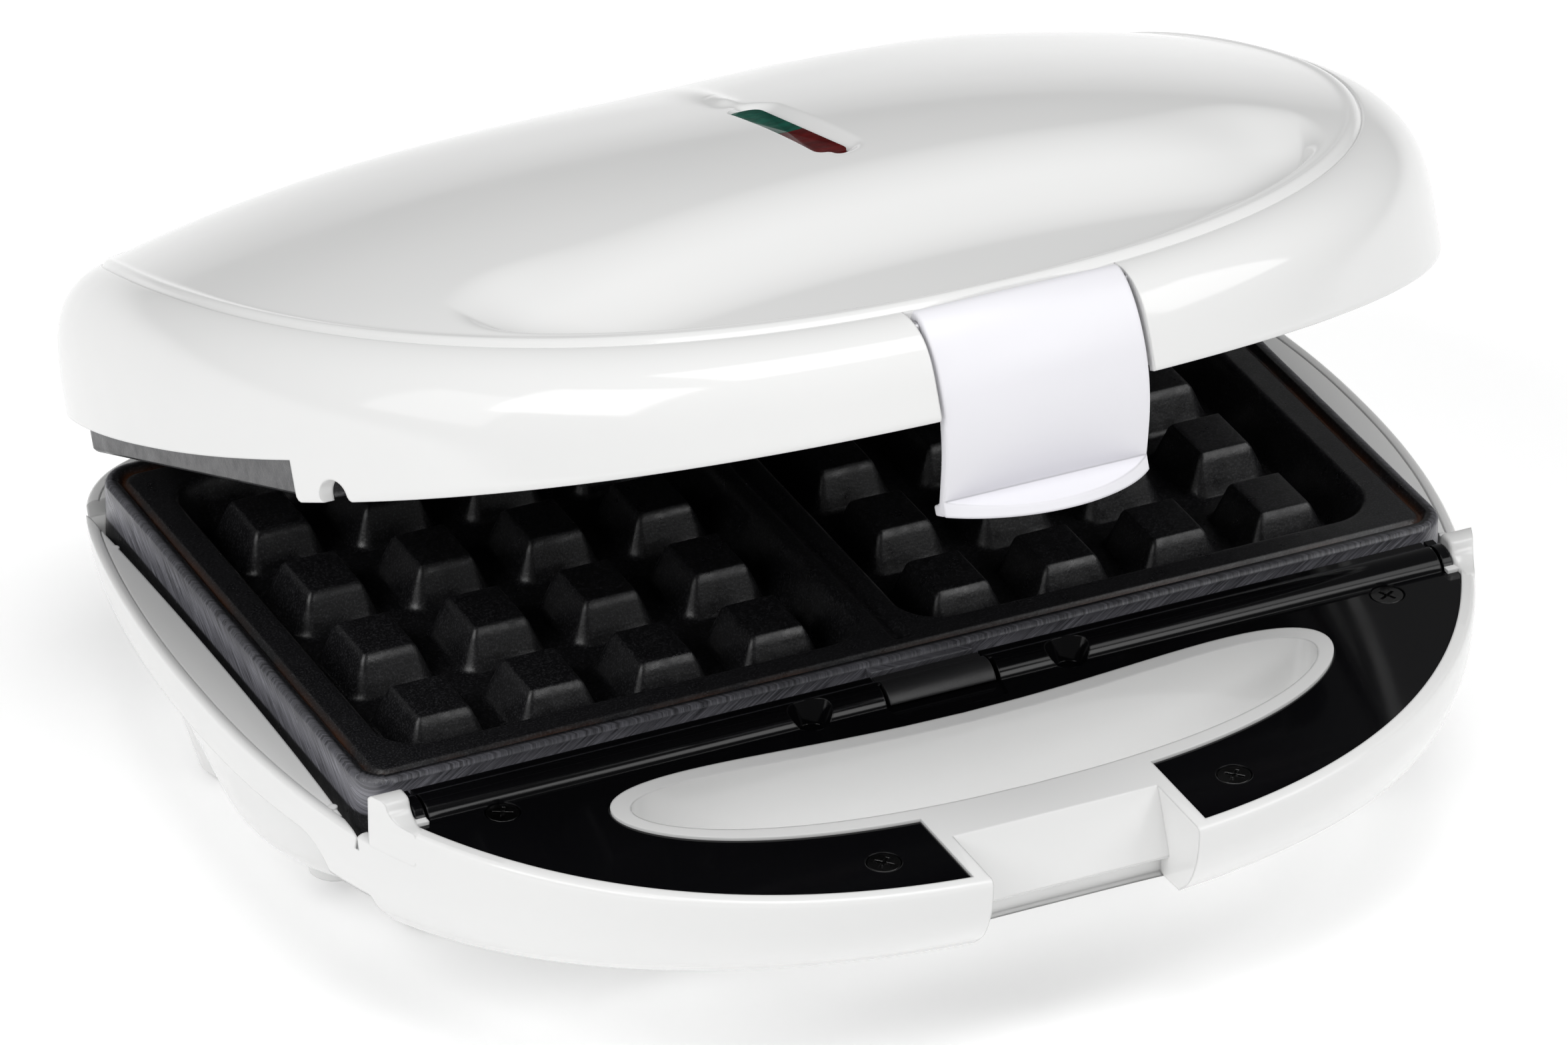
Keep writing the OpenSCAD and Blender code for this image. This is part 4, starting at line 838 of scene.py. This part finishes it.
def make_plate(name, body, node, upper):
    """One cast plate: a height field cut to the plate's outline, then turned over for the upper one."""
    step = 1.1 / FINE
    xs = np.linspace(-PLATE_HW - 1, PLATE_HW + 1, int(2 * PLATE_HW / step))
    ys = np.linspace(-PLATE_HD - 1, PLATE_HD + 1, int(2 * PLATE_HD / step))
    gx, gy = np.meshgrid(xs, ys, indexing="ij")
    gz = plate_top(gx, gy)
    nx, ny = gx.shape
    verts = np.column_stack([gx.ravel(), gy.ravel(), gz.ravel()])
    faces = [(i * ny + j, (i + 1) * ny + j, (i + 1) * ny + j + 1, i * ny + j + 1)
             for i in range(nx - 1) for j in range(ny - 1)]
    loop = ([(i, 0) for i in range(nx)] + [(nx - 1, j) for j in range(1, ny)]
            + [(i, ny - 1) for i in range(nx - 2, -1, -1)] + [(0, j) for j in range(ny - 2, 0, -1)])
    idx = [i * ny + j for i, j in loop]
    low = len(verts)
    verts = np.vstack([verts, [(xs[i], ys[j], -PLATE_T - 2) for i, j in loop]])
    m = len(idx)
    faces += [(idx[(k + 1) % m], idx[k], low + k, low + (k + 1) % m) for k in range(m)]
    faces.append(tuple(low + k for k in range(m - 1, -1, -1)))
    field = new_mesh("field", verts, faces)
    outline = round_rect(PLATE_HW, PLATE_HD, PLATE_R, 12)
    levels = [-PLATE_T, -PLATE_T + 0.4, -9.5, -8.2, -7.6, -5.5, -3.0, -1.6, 2]
    plate = skin(name, [at(outline, z) for z in levels])
    combine(plate, "INTERSECT", field)
    join(plate, box("tab", -10.6, 10.6, -PLATE_HD - 1.9, -PLATE_HD + 2, -PLATE_T + 2.5, -1.0))
    for x in (-60, 60):
        join(plate, box("tongue", x - 5, x + 5, PLATE_HD - 1, PLATE_HD + 3, -PLATE_T + 0.4, -PLATE_T + 2.2))
    me = plate.data
    co = np.array([v.co for v in me.vertices]) / MM
    d = rect_depth(co[:, 0], co[:, 1], PLATE_HW, PLATE_HD, PLATE_R)
    ground_and_edge_highlight = np.where(d < 0.3, np.interp(co[:, 2], [-8.2, -7.6, -2.5, -1.0], [0, 1, 1, 0.5]), 0)
    # Strip along the top edge at 0.4: partly the edge's scratched wear, partly a painted highlight of the rim; on the
    # upper plate all these marks are much fainter
    ground_and_edge_highlight = np.maximum(ground_and_edge_highlight, 0.4 * (d < 1.3) * (co[:, 2] > -1.6)) * (0.12 if upper else 1)
    stain = np.exp(-((d - 3.5) / 0.5) ** 2) * (co[:, 2] > -2.2)
    for key, value in (("ground_and_edge_highlight", ground_and_edge_highlight), ("stain", stain)):
        me.attributes.new(key, "FLOAT", "POINT").data.foreach_set("value", value.astype(np.float32))
    if upper:
        me.transform(Matrix.Diagonal((1, 1, -1, 1)))
        me.flip_normals()
    me.transform(Matrix.Translation((0, PLATE_CY * MM, MEET_Z * MM)))
    return finish_piece(plate, name, body, coating, node, angle=40, lid=upper)


def make_catch():
    """Slider in the roll's gap, whose nose holds the plate's front tab."""
    head = RIM_Z - 0.3
    body = tube("catch", (-CATCH_HW, ROLL_Y, RIM_Z - 2.1), "x", ROLL_R - 0.1, 2 * CATCH_HW, 96)
    cut(body, box("under", -CATCH_HW - 1, CATCH_HW + 1, ROLL_Y - 8, ROLL_Y + 8, RIM_Z - 20, head))
    join(body, box("back", -CATCH_HW + EPS, CATCH_HW - EPS, ROLL_Y, PANEL_BACK - 0.2, head + EPS, RIM_Z + 1.2))
    join(body, box("stem", -STEM_HW, STEM_HW, ROLL_Y + 0.6, PANEL_BACK - 0.21, RIM_Z - 13.6, head + 0.5))
    join(body, box("nose", -STEM_HW + EPS, STEM_HW - EPS, PANEL_BACK - 1, PLATE_Y0 - 1.1, MEET_Z - 8.4, MEET_Z - 6.8))
    return finish_piece(body, "catch_slider", "catch", matte, "lower_catch")


make_latch()
make_plate("plate_lower", "base", "lower_plate", False)
make_plate("plate_upper", "lid", "upper_plate", True)
make_catch()
middle = (LENS_Y0 + LENS_Y1) / 2
make_lens("lens_rear", middle + 0.1, LENS_Y1 + 1, green, "lens_green")
make_lens("lens_front", LENS_Y0 - 1, middle - 0.1, red, "lens_red")
make_lid()
make_base()
make_pan()
make_panel()

# ---- Studio ----
REACH = 6.0
floor_me = bpy.data.meshes.new("floor")
floor_me.from_pydata([(-REACH, -REACH, 0), (REACH, -REACH, 0), (REACH, REACH, 0), (-REACH, REACH, 0)],
                     [], [(0, 1, 2, 3)])
floor = bpy.data.objects.new("floor", floor_me)
bpy.context.scene.collection.objects.link(floor)
paper, _, _ = material("paper", (0.9, 0.9, 0.9), 0.9, Emission_Color=(1, 1, 1, 1), Emission_Strength=0.25)
floor.data.materials.append(paper)

scene = bpy.context.scene
world = bpy.data.worlds.new("studio")
scene.world = world
world.use_nodes = True
world.node_tree.nodes["Background"].inputs["Color"].default_value = (1, 1, 1, 1)
world.node_tree.nodes["Background"].inputs["Strength"].default_value = 0.15


def softbox(name, place, target, size, power):
    """Square area light at place that faces target."""
    light = bpy.data.lights.new(name, "AREA")
    light.size = size
    light.energy = power
    ob = bpy.data.objects.new(name, light)
    ob.location = place
    ob.rotation_mode = "QUATERNION"
    ob.rotation_quaternion = (Vector(target) - Vector(place)).to_track_quat("-Z", "Y")
    scene.collection.objects.link(ob)


softbox("top", (0, -0.35, 2.2), (0, 0, 0.06), 1.3, 23)
softbox("left", (-1.45, -0.65, 1.35), (0, 0, 0.06), 1.2, 17)
softbox("low_left", (-1.7, 0.1, 0.8), (0, 0, 0.06), 1.0, 4.5)
softbox("right", (1.35, -0.85, 1.4), (0, 0, 0.06), 1.2, 13)
softbox("front", (0.75, -1.65, 1.15), (0, 0, 0.1), 0.6, 4.5)

cam = bpy.data.cameras.new("camera")
cam.lens, cam.sensor_width = 286.5, 36
cam.clip_start, cam.clip_end = 0.1, 50
camera = bpy.data.objects.new("camera", cam)
camera.location = (-0.87677, -1.83714, 1.24823)
camera.rotation_mode = "QUATERNION"
camera.rotation_quaternion = Vector((0.3690, 0.7801, -0.5053)).to_track_quat("-Z", "Y")
scene.collection.objects.link(camera)
scene.camera = camera
scene.view_settings.view_transform = "Standard"
